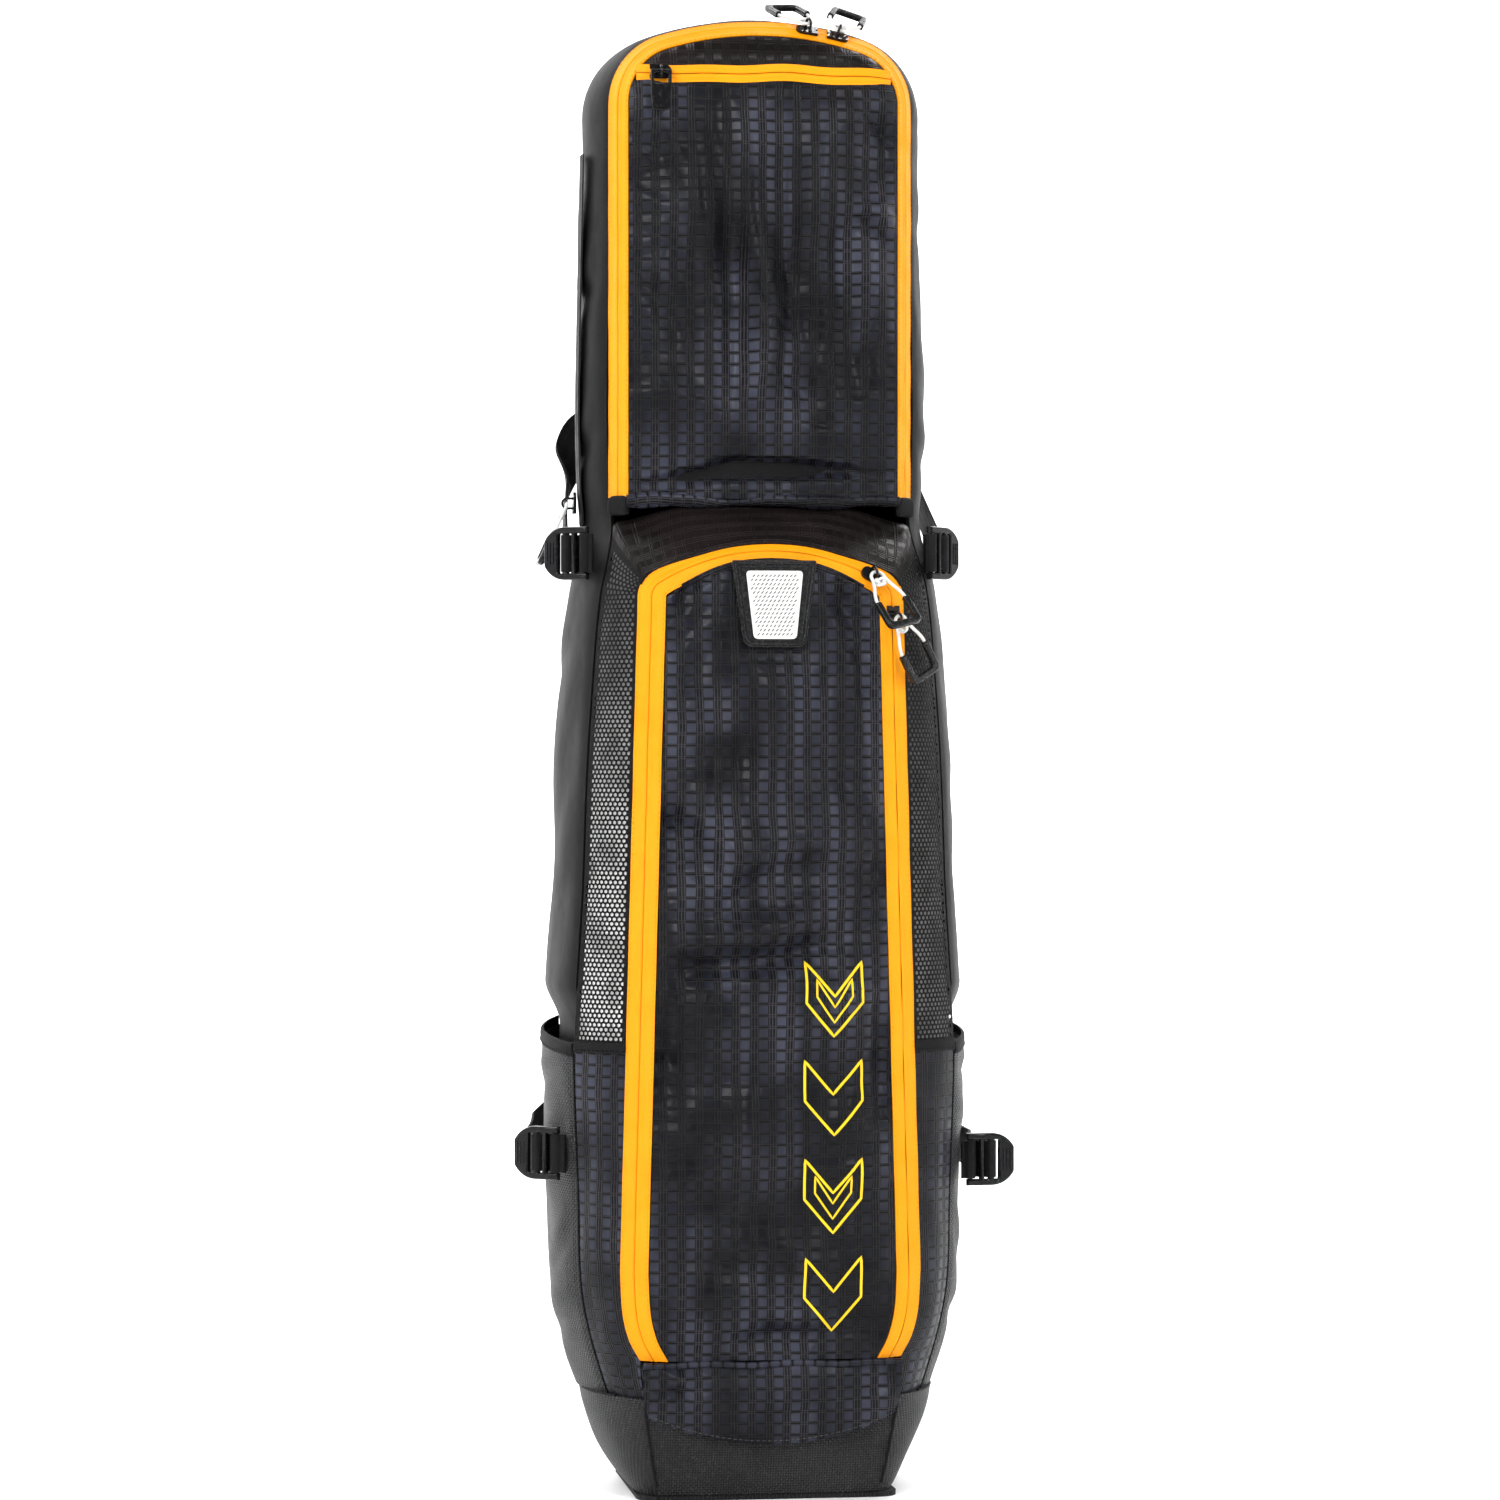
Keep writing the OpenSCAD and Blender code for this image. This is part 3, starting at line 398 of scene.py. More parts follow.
# ---- Materials ----
class Mat:
    """A material written as sums: u and v are millimetres of cloth, or of the part itself."""

    def __init__(self, name, rough=0.5, by="uv", **shader):
        self.m = bpy.data.materials.new(name)
        self.m.use_nodes = True
        self.t = self.m.node_tree
        self.b = self.t.nodes["Principled BSDF"]
        for key, value in dict(shader, Roughness=rough).items():
            self.b.inputs[key.replace("_", " ")].default_value = value
        at = self.t.nodes.new("ShaderNodeTexCoord").outputs["Object"]
        self.at = self.node("ShaderNodeVectorMath", {0: at, 1: (1000.0,) * 3}, operation="MULTIPLY")
        if by == "uv":
            uv = self.t.nodes.new("ShaderNodeUVMap")
            uv.uv_map = "cloth"
            xyz = self.t.nodes.new("ShaderNodeSeparateXYZ")
            self.t.links.new(uv.outputs[0], xyz.inputs[0])
            self.u, self.v = xyz.outputs[0], xyz.outputs[1]
        else:
            xyz = self.t.nodes.new("ShaderNodeSeparateXYZ")
            self.t.links.new(self.at, xyz.inputs[0])
            self.u, self.v = (xyz.outputs["XYZ".index(a)] for a in by)

    def node(self, kind, inputs, out=0, **props):
        n = self.t.nodes.new(kind)
        for key, value in props.items():
            setattr(n, key, value)
        for key, value in inputs.items():
            if isinstance(value, bpy.types.NodeSocket):
                self.t.links.new(value, n.inputs[key])
            else:
                n.inputs[key].default_value = value
        return n.outputs[out]

    def op(self, what, a, b=0.0, c=0.0):
        return self.node("ShaderNodeMath", {0: a, 1: b, 2: c}, operation=what)

    def mul(self, a, b):
        return self.op("MULTIPLY", a, b)

    def add(self, a, b):
        return self.op("ADD", a, b)

    def noise(self, size, detail=2.0, rough=0.5):
        """Noise from 0 to 1 whose blobs are about size millimetres."""
        return self.node("ShaderNodeTexNoise", {"Vector": self.at, "Scale": 1.0 / size, "Detail": detail,
                                                "Roughness": rough})

    def streaks(self, wide, tall):
        """Noise drawn out upwards, in blobs about wide by tall millimetres."""
        at = self.node("ShaderNodeVectorMath", {0: self.at, 1: (1.0, 1.0, wide / tall)}, operation="MULTIPLY")
        return self.node("ShaderNodeTexNoise", {"Vector": at, "Scale": 1.0 / wide, "Detail": 2.0})

    def span(self, value, a, b, c=0.0, d=1.0):
        """From c to d, smoothly, while the value goes from a to b."""
        return self.node("ShaderNodeMapRange", {0: value, 1: a, 2: b, 3: c, 4: d},
                         interpolation_type="SMOOTHSTEP")

    def line(self, t, pitch, at, width):
        """1 on lines every pitch, falling to 0 a width away."""
        f = self.op("FRACT", self.op("DIVIDE", self.op("SUBTRACT", t, at - 1000 * pitch), pitch))
        d = self.mul(self.op("MINIMUM", f, self.op("SUBTRACT", 1.0, f)), pitch)
        return self.op("MAXIMUM", 0.0, self.op("SUBTRACT", 1.0, self.op("DIVIDE", d, width)))

    def most(self, *values):
        out = values[0]
        for v in values[1:]:
            out = self.op("MAXIMUM", out, v)
        return out

    def colour(self, fac, a, b):
        n = self.t.nodes.new("ShaderNodeMix")
        n.data_type = "RGBA"
        self.t.links.new(fac, n.inputs["Factor"])
        for key, value in ((6, a), (7, b)):
            if isinstance(value, bpy.types.NodeSocket):
                self.t.links.new(value, n.inputs[key])
            else:
                n.inputs[key].default_value = (*value, 1)
        return n.outputs[2]

    def base(self, socket):
        self.t.links.new(socket, self.b.inputs["Base Color"])

    def rough(self, fac, a, b):
        self.t.links.new(self.span(fac, 0.0, 1.0, a, b), self.b.inputs["Roughness"])

    def bump(self, *layers):
        """Layers of (height, depth in millimetres)."""
        total = None
        for height, depth in layers:
            h = self.mul(height, depth * MM)
            total = h if total is None else self.add(total, h)
        n = self.node("ShaderNodeBump", {"Height": total, "Distance": 1.0, "Strength": 1.0})
        self.t.links.new(n, self.b.inputs["Normal"])
        return self.m


def weave_height(m, pitch):
    """A plain weave: over and under, every pitch."""
    a = m.op("SINE", m.mul(m.u, math.pi / pitch))
    b = m.op("SINE", m.mul(m.v, math.pi / pitch))
    over = m.op("GREATER_THAN", m.mul(a, b), 0.0)
    return m.add(m.mul(m.op("ABSOLUTE", a), over),
                m.mul(m.op("ABSOLUTE", b), m.op("SUBTRACT", 1.0, over)))


def weave(name, pitch, dark, light, rough=(0.55, 0.75), depth=0.25, by="uv", level=0.08, **shader):
    m = Mat(name, by=by, Specular_IOR_Level=level, **shader)
    h = weave_height(m, pitch)
    worn = m.noise(38, 3)
    fac = m.mul(h, m.span(worn, 0.25, 0.75, 0.6, 1.0))
    m.base(m.colour(fac, dark, light))
    m.rough(worn, *rough)
    return m.bump((h, depth), (m.noise(14, 3), 0.5))


def plaid(name, cell=(0.042, 0.045, 0.066), base=(0.0014, 0.0014, 0.0020), thread=(0.052, 0.050, 0.060)):
    """Glossy cloth embossed in a plaid: smooth cells, and raised threads between them, lit in broad upright
    streaks of painted sheen.
    """
    m = Mat(name, 0.4, Specular_IOR_Level=0.14)
    sway = m.mul(m.op("SUBTRACT", m.noise(40, 2), 0.5), 1.5)
    m.u, m.v = m.add(m.u, sway), m.add(m.v, sway)
    col, row = 11.6, 7.6
    ups = m.most(m.line(m.u, col, 7.1, 0.6), m.line(m.u, col, 9.0, 0.6), m.line(m.u, col, 10.9, 0.6))
    rows = m.most(m.line(m.v, row, 5.4, 0.55), m.line(m.v, row, 6.9, 0.5))
    cells = m.mul(m.span(m.line(m.u, col, 3.1, 3.3), 0.0, 0.2),
                  m.span(m.line(m.v, row, 2.4, 2.9), 0.0, 0.2))
    fine = m.most(m.line(m.u, 0.9, 0, 0.4), m.line(m.v, 0.9, 0, 0.4))
    # painted sheen: broad upright streaks where cells and threads are lighter, standing in for highlights on
    # the folds
    painted_sheen = m.mul(m.span(m.noise(70, 2), 0.34, 0.62),
                  m.span(m.streaks(26, 190), 0.36, 0.62, 0.25, 1.0))
    # the cells reach their own lighter colour only inside the painted sheen, so that colour is partly the
    # pattern and partly painted highlight
    shade = m.colour(m.mul(cells, m.add(0.06, m.mul(painted_sheen, 0.94))), base, cell)
    threads = m.mul(m.most(m.mul(rows, 0.75), ups), m.add(0.16, m.mul(painted_sheen, 0.7)))
    m.base(m.colour(threads, shade, thread))
    m.rough(cells, 0.44, 0.31)
    return m.bump((m.most(ups, rows), 0.3), (cells, 0.12), (fine, 0.02), (m.noise(12, 2), 0.3),
                  (m.noise(34, 2), 1.5))


def backing(name):
    """Pale foam behind the mesh, its colour painted with light and shade: brightest low on the left, darker up
    and to the right.
    """
    m = Mat(name, 0.7)
    x = m.node("ShaderNodeSeparateXYZ", {0: m.at}, 0)
    z = m.node("ShaderNodeSeparateXYZ", {0: m.at}, 2)
    # painted light showing through the holes, fading into painted shade upwards and to the right
    painted_light = m.mul(m.span(x, -60, 60, 1.0, 0.2), m.span(z, 330, 600, 1.0, 0.1))
    painted_light = m.mul(painted_light, m.span(m.noise(22, 3), 0.38, 0.58, 0.55, 1.0))
    m.base(m.colour(painted_light, (0.02, 0.02, 0.02), (0.95, 0.95, 0.95)))
    return m.bump((m.noise(2, 2), 0.1))


def smooth_cloth(name, tone=(0.0075, 0.0072, 0.0072), rough=(0.42, 0.6)):
    m = Mat(name, Specular_IOR_Level=0.07)
    soft = m.noise(60, 3)
    fine = m.most(m.line(m.u, 0.7, 0, 0.3), m.line(m.v, 0.7, 0, 0.3))
    lighter = tuple(1.5 * c for c in tone)
    m.base(m.colour(m.add(m.mul(soft, 0.8), m.mul(fine, 0.15)), tone, lighter))
    m.rough(soft, *rough)
    return m.bump((fine, 0.04), (m.noise(9, 3), 0.25), (m.noise(42, 2), 1.6))


def tape(name, colour, deep, coil):
    """Zip tape: fine ribs across, a little darker and rougher in random patches; with coil set, also fine
    lines along and a grain.
    """
    m = Mat(name, 0.55, Specular_IOR_Level=0.2)
    ribs = m.line(m.v, 0.8, 0, 0.4)
    along = m.line(m.u, 1.1, 0, 0.45)
    dirt = m.span(m.noise(20, 4), 0.35, 0.85)
    m.base(m.colour(m.mul(dirt, 0.22), m.colour(m.mul(ribs, 0.18), colour, deep), deep))
    m.rough(dirt, 0.5, 0.66)
    return m.bump((ribs, 0.1), (along, 0.06), (m.noise(5, 2), 0.15)) if coil else m.bump((ribs, 0.12))


def webbing(name, tone=(0.006, 0.006, 0.0065)):
    m = Mat(name, 0.6, Specular_IOR_Level=0.1)
    slant = m.mul(m.op("PINGPONG", m.u, 3.1), 0.9)
    ribs = m.line(m.add(m.v, slant), 1.5, 0, 0.75)
    warp = m.line(m.u, 1.55, 0, 0.7)
    lighter = tuple(3.2 * c for c in tone)
    m.base(m.colour(m.mul(ribs, m.span(m.noise(9, 3), 0.2, 0.8, 0.5, 1.0)), tone, lighter))
    m.rough(m.noise(25, 2), 0.5, 0.7)
    return m.bump((ribs, 0.22), (warp, 0.16))


def plastic(name, tone, low, high, by="XZ", level=0.28):
    m = Mat(name, low, by=by, Specular_IOR_Level=level)
    worn = m.span(m.noise(3.0, 5, 0.65), 0.42, 0.8)
    m.base(m.colour(m.mul(worn, 0.5), tone, tuple(1.6 * c + 0.003 for c in tone)))
    m.rough(worn, low, high)
    return m.bump((m.noise(1.2, 3), 0.012), (m.noise(6, 2), 0.06))


def braid(name):
    m = Mat(name, 0.6, Sheen_Weight=0.2)
    a = m.line(m.add(m.v, m.u), 1.2, 0, 0.6)
    b = m.line(m.op("SUBTRACT", m.v, m.u), 1.2, 0, 0.6)
    h = m.most(a, b)
    m.base(m.colour(h, (0.50, 0.49, 0.47), (0.92, 0.92, 0.90)))
    m.rough(m.noise(4, 2), 0.5, 0.75)
    return m.bump((h, 0.2))


PLAID = plaid("embossed_cloth")
# a darker, browner copy of the plaid: the crown's own colour, and on the yoke and its lap painted shade under
# the hood's foot
PLAID_DARK = plaid("embossed_cloth_dark", (0.013, 0.009, 0.009), (0.005, 0.0035, 0.0035), (0.03, 0.022, 0.02))
SMOOTH = smooth_cloth("smooth_cloth")
DARK = (0.004, 0.004, 0.0045)
COARSE = weave("coarse_cloth", 1.7, (0.0015, 0.0015, 0.0017), (0.05, 0.05, 0.052), (0.38, 0.55), 0.8,
               level=0.14)
PLAIN = weave("plain_cloth", 0.9, DARK, (0.018, 0.018, 0.019), depth=0.2)
PLAIN_CAD = weave("plain_cloth_inside", 0.9, DARK, (0.018, 0.018, 0.019), depth=0.2, by="XZ")
COARSE_CAD = weave("coarse_cloth_floor", 1.35, DARK, (0.03, 0.03, 0.031), depth=0.35, by="XY")
PADDED = weave("padded_cloth", 1.9, DARK, (0.026, 0.026, 0.027), depth=0.55)
MESH = weave("mesh_cloth", 0.7, (0.003, 0.003, 0.003), (0.014, 0.013, 0.013), (0.5, 0.62), 0.12)
BACKING = backing("mesh_backing")
ORANGE = tape("bright_zip", (1.0, 0.36, 0.0), (0.85, 0.23, 0.0), True)
# the coil's darker orange is partly painted shade, standing in for the shadow in the groove between the tapes
ORANGE_COIL = tape("bright_zip_coil", (0.75, 0.2, 0.0), (0.45, 0.1, 0.0), True)
DARK_ZIP = tape("dark_zip", (0.01, 0.01, 0.0105), (0.004, 0.004, 0.004), True)
WEBBING = webbing("webbing")
PRINT = tape("print_yellow", (1.0, 0.66, 0.02), (0.85, 0.5, 0.01), False)
HARD = plastic("hard_plastic", (0.006, 0.006, 0.0065), 0.14, 0.34)
SOFT = plastic("soft_plastic", (0.008, 0.008, 0.0085), 0.25, 0.45)
BOARD = plastic("board", (0.045, 0.045, 0.045), 0.5, 0.7)
WHITE = plastic("badge_white", (0.72, 0.72, 0.70), 0.3, 0.5)
CORD = braid("braided_cord")
THREAD = weave("thread", 0.5, (0.02, 0.02, 0.02), (0.10, 0.10, 0.10), depth=0.05, by="XZ")
THREAD_ORANGE = weave("thread_orange", 0.5, (0.75, 0.2, 0.0), (1.0, 0.42, 0.02), depth=0.05, by="XZ")


# ---- Camera, at the photograph's angle ----
VIEW_TURN = math.radians(8)
VIEW_FAR = 3.2
FRAME_WIDE = 0.99
look = Vector((math.sin(VIEW_TURN), math.cos(VIEW_TURN), 0))
middle = look * -0.06 + Vector((0, 0, 0.4897))
camera = bpy.data.objects.new("camera", bpy.data.cameras.new("camera"))
SCENE.collection.objects.link(camera)
camera.data.sensor_width = 36
camera.data.lens = 36 * VIEW_FAR / FRAME_WIDE
camera.location = middle - look * VIEW_FAR
camera.rotation_euler = (math.pi / 2, 0, -VIEW_TURN)
SCENE.camera = camera


# ---- Zip pulls: cord, knot and grip ----
def on_crown(r, centre, y, a):
    return np.array([r * math.sin(a), y, centre + r * math.cos(a)])


def crown_normal(a, across, drop):
    return unit([drop * math.sin(a), -across, drop * math.cos(a)])


def on_hood(x):
    """A place on the crown of the hood's zip, x from its middle, and the way that the zip faces there."""
    a = math.asin(x / HOOD_R)
    return on_crown(HOOD_R, HOOD_TOP - HOOD_CROWN_R, HOOD_MID_Y, a), crown_normal(a, HOOD_ACROSS, HOOD_DROP)


def along(h, n):
    h = np.asarray(h, float)
    return unit(h - (h @ n) * n)


HOOD_R, DOOR_R = HOOD_CROWN_R - HOOD_ACROSS / 2, DOOR_CROWN_R - DOOR_ACROSS / 2
HOOD_MID_Y, DOOR_MID_Y = -FLAP_Y - HOOD_DROP / 2, -DOOR_Y - DOOR_DROP / 2
door_turn = math.radians(28)
side_t = unit([door_side_x(200) - door_side_x(500), 0, -300])
side_n = unit(np.cross(side_t, np.cross([DOOR_DROP, -DOOR_ACROSS, 0], side_t)))
door_up_n = crown_normal(door_turn, DOOR_ACROSS, DOOR_DROP)
PULLS = {  # name: (runner's place, normal, way it hangs)
    "hood_left": (*on_hood(30), unit([-0.3, 0.88, 0.37])),
    "hood_right": (*on_hood(50), unit([0.3, 0.88, 0.37])),
    "door_upper": (on_crown(DOOR_R, DOOR_TOP - DOOR_CROWN_R, DOOR_MID_Y, door_turn), door_up_n,
                   unit(along([0.24, 0, -1], door_up_n) + 0.2 * door_up_n)),
    "door_lower": (np.array([door_side_x(577) - DOOR_ACROSS / 2, DOOR_MID_Y, 577]), side_n,
                   unit([0.45, 0.16, -0.88])),
    "side": (np.array([-HOOD_HALF - 3.2, -12, 654]), np.array([-1.0, 0, 0]), unit([-0.42, 0, -0.9])),
}
CORD_R = 1.1
LOOP = [(10.5, -24.4), (10.1, -21), (8.8, -17), (7, -13), (5.5, -9.2), (4.75, -6.2), (4.48, -4.1),
        (4.23, -2.96), (3.45, -1.61), (1.9, -0.42)]
GRIP_OUT, GRIP_IN, GRIP_LOW, GRIP_TOP, GRIP_THICK = 12.7, 8.3, -45.4, -24, 4.4


def pull_name(name, what):
    """The node or body of a pull: hood_left's cord is hood_cord_left."""
    place, _, which = name.partition("_")
    return f"{place}_{what}_{which}".rstrip("_")


def add_pull(name):
    p, n, hang = PULLS[name]
    body = pull_name(name, "pull")
    face = unit(n - (n @ hang) * hang)
    y = -hang
    x = np.cross(y, face)
    eye = p + n * APEX_H
    place = frame_at(eye, x, y, face)

    def put(q):
        return eye + q[0] * x + q[1] * y + (q[2] if len(q) > 2 else 0) * face
    route = [put((-a, b)) for a, b in LOOP] + [eye] + [put(q) for q in LOOP[::-1]]
    line = smooth_line(route, 4)
    cord = cloth("cord_" + name, [tube_parts(line, CORD_R, 12)], body, CORD, "cord", pull_name(name, "cord"))
    # the knot where the two sides of the loop are tied together below the runner
    knot = []
    for i in range(46):
        q = 2 * math.pi * i / 46
        r = 2.35 + 0.85 * math.cos(3 * q)
        knot.append(put((r * math.cos(2 * q) * 1.25, -8.4 + r * math.sin(2 * q) * 0.85,
                         1.15 * math.sin(3 * q))))
    knot = cloth("knot_" + name, [tube_parts(knot, 1.0, 9, closed=True)], body, CORD, "cord")
    u = [(-GRIP_OUT, GRIP_TOP), (-GRIP_OUT, GRIP_LOW), (GRIP_OUT, GRIP_LOW), (GRIP_OUT, GRIP_TOP),
         (GRIP_IN, GRIP_TOP), (GRIP_IN, GRIP_LOW + 4.4), (-GRIP_IN, GRIP_LOW + 4.4), (-GRIP_IN, GRIP_TOP)]
    grip = plate("grip_" + name, [rounded(u, {1: 5, 2: 5, 5: 2.5, 6: 2.5})], GRIP_THICK, 1.35, place, 3)
    finish_piece(grip, body, SOFT, "soft_plastic", pull_name(name, "grip"))


for pull in PULLS:
    add_pull(pull)


# ---- Folds ----
def waves(x, z, size, seed, depth):
    """Gentle uneven waves about size millimetres long."""
    r = np.random.RandomState(seed)
    out = 0
    for k in range(5):
        a, phase, s = r.uniform(0, math.pi), r.uniform(0, 6.28), size * r.uniform(0.6, 1.5)
        out = out + np.sin((x * math.cos(a) + z * math.sin(a)) * 2 * math.pi / s + phase)
    return depth * out / 5


def folds(x, z, creases):
    """How far forward creases push the cloth.

    Each is (x0, z0, x1, z1, depth, width, bow): a valley with a swell beside it."""
    out = np.zeros_like(x)
    for x0, z0, x1, z1, depth, width, bow in creases:
        long = math.hypot(x1 - x0, z1 - z0)
        tx, tz = (x1 - x0) / long, (z1 - z0) / long
        t = ((x - x0) * tx + (z - z0) * tz) / long
        inside = np.clip(t, 0, 1)
        d = -(x - x0) * tz + (z - z0) * tx - bow * np.sin(math.pi * inside)
        ends = np.exp(-((t - inside) * long / (2 * width)) ** 2)
        ends *= 0.25 + 0.75 * np.sin(math.pi * inside) ** 0.6
        beside = 0.8 * np.exp(-((d - 1.7 * width) / (1.25 * width)) ** 2)
        out += ends * depth * (beside - np.exp(-(d / width) ** 2))
    return out


def edge_fade(shape, rows, cols):
    """0 at a grid's edges, 1 a few rows and columns inside."""
    i, j = (np.minimum(np.arange(n), np.arange(n)[::-1]) for n in shape[:2])
    return np.clip(i / rows, 0, 1)[:, None] * np.clip(j / cols, 0, 1)[None]


def finer(g):
    """A grid with a row put in between every two."""
    out = np.empty((2 * len(g) - 1, *g.shape[1:]))
    out[::2], out[1::2] = g, (g[:-1] + g[1:]) / 2
    return out


def gathers(g, reach, depth, seed):
    """Short puckers that run in from the zip on both sides of a panel, and die away within its reach."""
    x, z = g[..., 0], g[..., 2]
    inside = np.abs(x).max(1)[:, None] - np.abs(x)
    strong = 0.5 + 0.5 * np.sin(z / 31 + np.sign(x) * 1.3)
    return strong * np.exp(-inside / reach) * waves(z + 0.5 * inside, np.sign(x) * 40, 15, seed, depth)


def relax(g, slack, pressure, frames, cap):
    """Cloth simulation of a grid held by its edges and cut a little large, so that it puffs and wrinkles.

    No point moves further than cap, which may differ from point to point."""
    n, m = g.shape[:2]
    i = np.arange(n * m).reshape(n, m)
    obj = build("simulated", g.reshape(-1, 3), grid_faces(n, m).tolist())
    held = obj.vertex_groups.new(name="held")
    held.add([int(k) for k in np.concatenate([i[0], i[-1], i[:, 0], i[:, -1]])], 1.0, "REPLACE")
    mod = obj.modifiers.new("cloth", "CLOTH")
    s = mod.settings
    s.quality = 5
    s.mass = 0.25
    s.vertex_group_mass = "held"
    s.shrink_min = -slack
    s.tension_stiffness = s.compression_stiffness = 25
    s.shear_stiffness = 12
    s.bending_stiffness = 1.2
    s.use_pressure = True
    s.uniform_pressure_force = pressure
    s.effector_weights.gravity = 0
    mod.collision_settings.use_collision = False
    mod.point_cache.frame_start, mod.point_cache.frame_end = 1, frames
    for f in range(1, frames + 1):
        SCENE.frame_set(f)
    me = obj.evaluated_get(bpy.context.evaluated_depsgraph_get()).to_mesh()
    co = np.zeros(n * m * 3)
    me.vertices.foreach_get("co", co)
    SCENE.frame_set(1)
    bpy.data.objects.remove(obj)
    move = co.reshape(n, m, 3) / MM - g
    far = np.linalg.norm(move, axis=2, keepdims=True)
    cap = np.asarray(cap, float)
    cap = cap[..., None] if cap.ndim else cap
    return g + move * cap / (cap + far)


# ---- Front panels ----
def filled(rows, y, bulge, cols):
    """A panel inside a zip line: rows of (half width, z), and bulge(u, z) forward."""
    us = np.linspace(-1, 1, cols)
    us = us * (1.0 - 0.12 * (1 - us ** 2))
    us = us / np.abs(us).max()
    return np.array([[[u * w, -y - bulge(u, z), z] for u in us] for w, z in rows])


def swell(u, power):
    """1 in the middle, 0 at both edges: flatter on top the higher the power."""
    return 1 - abs(u) ** power


def even_rows(half, step, least=4.0):
    """Rows of a half path about step apart in height, and closer over its crown."""
    out = [half[0]]
    for x, z in half[1:]:
        if z - out[-1][1] >= step * (0.25 if x < 60 else 0.6 if x < 78 else 1) and x > least:
            out.append((x, z))
    return out


def flap_x(z):
    """The half width of the cloth between the hood's zips."""
    d, r = HOOD_ACROSS + 1, HOOD_CORNER_R
    cc = arch_centre(*HOOD_ARCH)
    return FLAP_HALF - d if z < cc else FLAP_HALF - r + math.sqrt(max((r - d) ** 2 - (z - cc) ** 2, 0))


def rumple(g, fade, creases, size, short, seed):
    """Pushes a front panel forward by creases, waves and gathers."""
    x, z = g[..., 0], g[..., 2]
    g[..., 1] -= fade * (folds(x, z, creases) + waves(x, z, size, seed, 8.0)
                         + waves(x, z, short, seed + 1, 1.3) + gathers(g, 12, 6.0, seed + 2))


# Door
def door_bulge(u, z):
    return 13 * swell(u, 2.4) * math.sin(math.pi * min(max((z - 82) / 566, 0), 1))


door_rows = even_rows(door_half_path(DOOR_ACROSS + 0.6), 3.4)
door = filled(door_rows, DOOR_FRONT + 0.2, door_bulge, 58)
near_badge = 1 - np.exp(-(np.maximum(np.abs(door[..., 0]) - 30, 0) / 10) ** 2
                       - (np.maximum(np.abs(door[..., 2] - 585) - 34, 0) / 10) ** 2)
door = finer(relax(door, 0.03, 3.0, 24, 0.02 + 11 * near_badge))
near_badge = finer(near_badge)
DOOR_CREASES = [
    (-64, 350, 34, 366, 14, 10, -6), (-36, 384, 32, 420, 9, 11, 6), (-74, 456, -34, 402, 8.5, 9, 4),
    (64, 562, 20, 606, 6.5, 7, -4), (70, 536, 36, 592, 5.2, 6, 4), (74, 490, 56, 560, 5.2, 7, 3),
    (-70, 570, -38, 606, 5.5, 7, 4), (-76, 240, -60, 336, 5.2, 9, 3), (76, 250, 64, 352, 4.7, 9, -3),
    (-60, 160, 34, 128, 4.4, 11, 6), (34, 478, 64, 436, 4.4, 8, 3), (-30, 104, 40, 108, 3.9, 7, 3),
    (-44, 330, 14, 316, 3.9, 9, 3), (-20, 545, -28, 450, 4.7, 11, 4), (22, 330, 30, 230, 3.9, 12, 4),
    (-30, 300, -36, 190, 4.2, 12, -4),
]
rumple(door, edge_fade(door.shape, 8, 2.5) * near_badge, DOOR_CREASES, 105, 38, 3)
door_panel = panel("door_panel_cloth", door, FRONT, "pocket_door", PLAID, "embossed_cloth", "door_panel",
                   "xz")

# Hood: the panel under the pocket zip, and the crown over it
ZIP_Z, ZIP_HALF = 934, 8
ZIP_EDGE = ZIP_Z + 4.6  # where the crown's cloth starts


def flat_front(u):
    """The flat run that the pocket zip is sewn along."""
    return 9.0 * (1 - abs(u) ** 9)


def hood_bulge(u, z):
    full = 13 * swell(u, 2.4) * math.sin(math.pi * min(max((z - 629) / 336, 0), 1))
    return mix(full, flat_front(u), ease((z - 850) / 70))


hood_rows = [(flap_x(z) + 0.4, z) for z in np.linspace(FLAP_FOOT + 1, ZIP_Z - 4.6, 80)]
hood = filled(hood_rows, FLAP_FRONT + 0.2, hood_bulge, 60)
near_zip = np.clip((ZIP_Z - ZIP_HALF - hood[..., 2]) / 40, 0, 1)
hood = finer(relax(hood, 0.03, 3.0, 24, 0.02 + 11 * near_zip))
HOOD_CREASES = [
    (-86, 663, 82, 672, 16.9, 8, 8), (-66, 696, 6, 682, 9.8, 9, -4), (-32, 905, -22, 700, 8.5, 11, 5),
    (16, 890, 24, 730, 7.2, 12, -5), (-60, 860, -50, 720, 5.2, 10, 4), (54, 850, 62, 730, 5.5, 10, -4),
    (58, 842, 88, 820, 6.0, 5, 3), (-86, 806, -60, 770, 5.2, 7, 3), (28, 704, 78, 690, 5.5, 7, 3),
    (64, 918, 86, 880, 4.7, 6, 3), (-84, 900, -66, 868, 4.4, 6, 3), (-10, 752, 44, 706, 5.2, 9, 4),
]
rumple(hood, edge_fade(hood.shape, 10, 2.5), HOOD_CREASES, 95, 36, 11)
# near its foot the panel stays behind a line that clears the yoke when the flap opens
own = np.array([[hood_bulge(u, row[0, 2]) for u in row[:, 0] / np.abs(row[:, 0]).max()] for row in hood])
room = 0.6 + 12 * np.clip((hood[..., 2] - 712) / 40, 0, 1) ** 2
hood[..., 1] = np.maximum(hood[..., 1], -FLAP_FRONT - 0.2 - own - room)
panel("hood_panel_cloth", hood, FRONT, "hood_flap", PLAID, "embossed_cloth", "hood_pocket_panel", "xz")

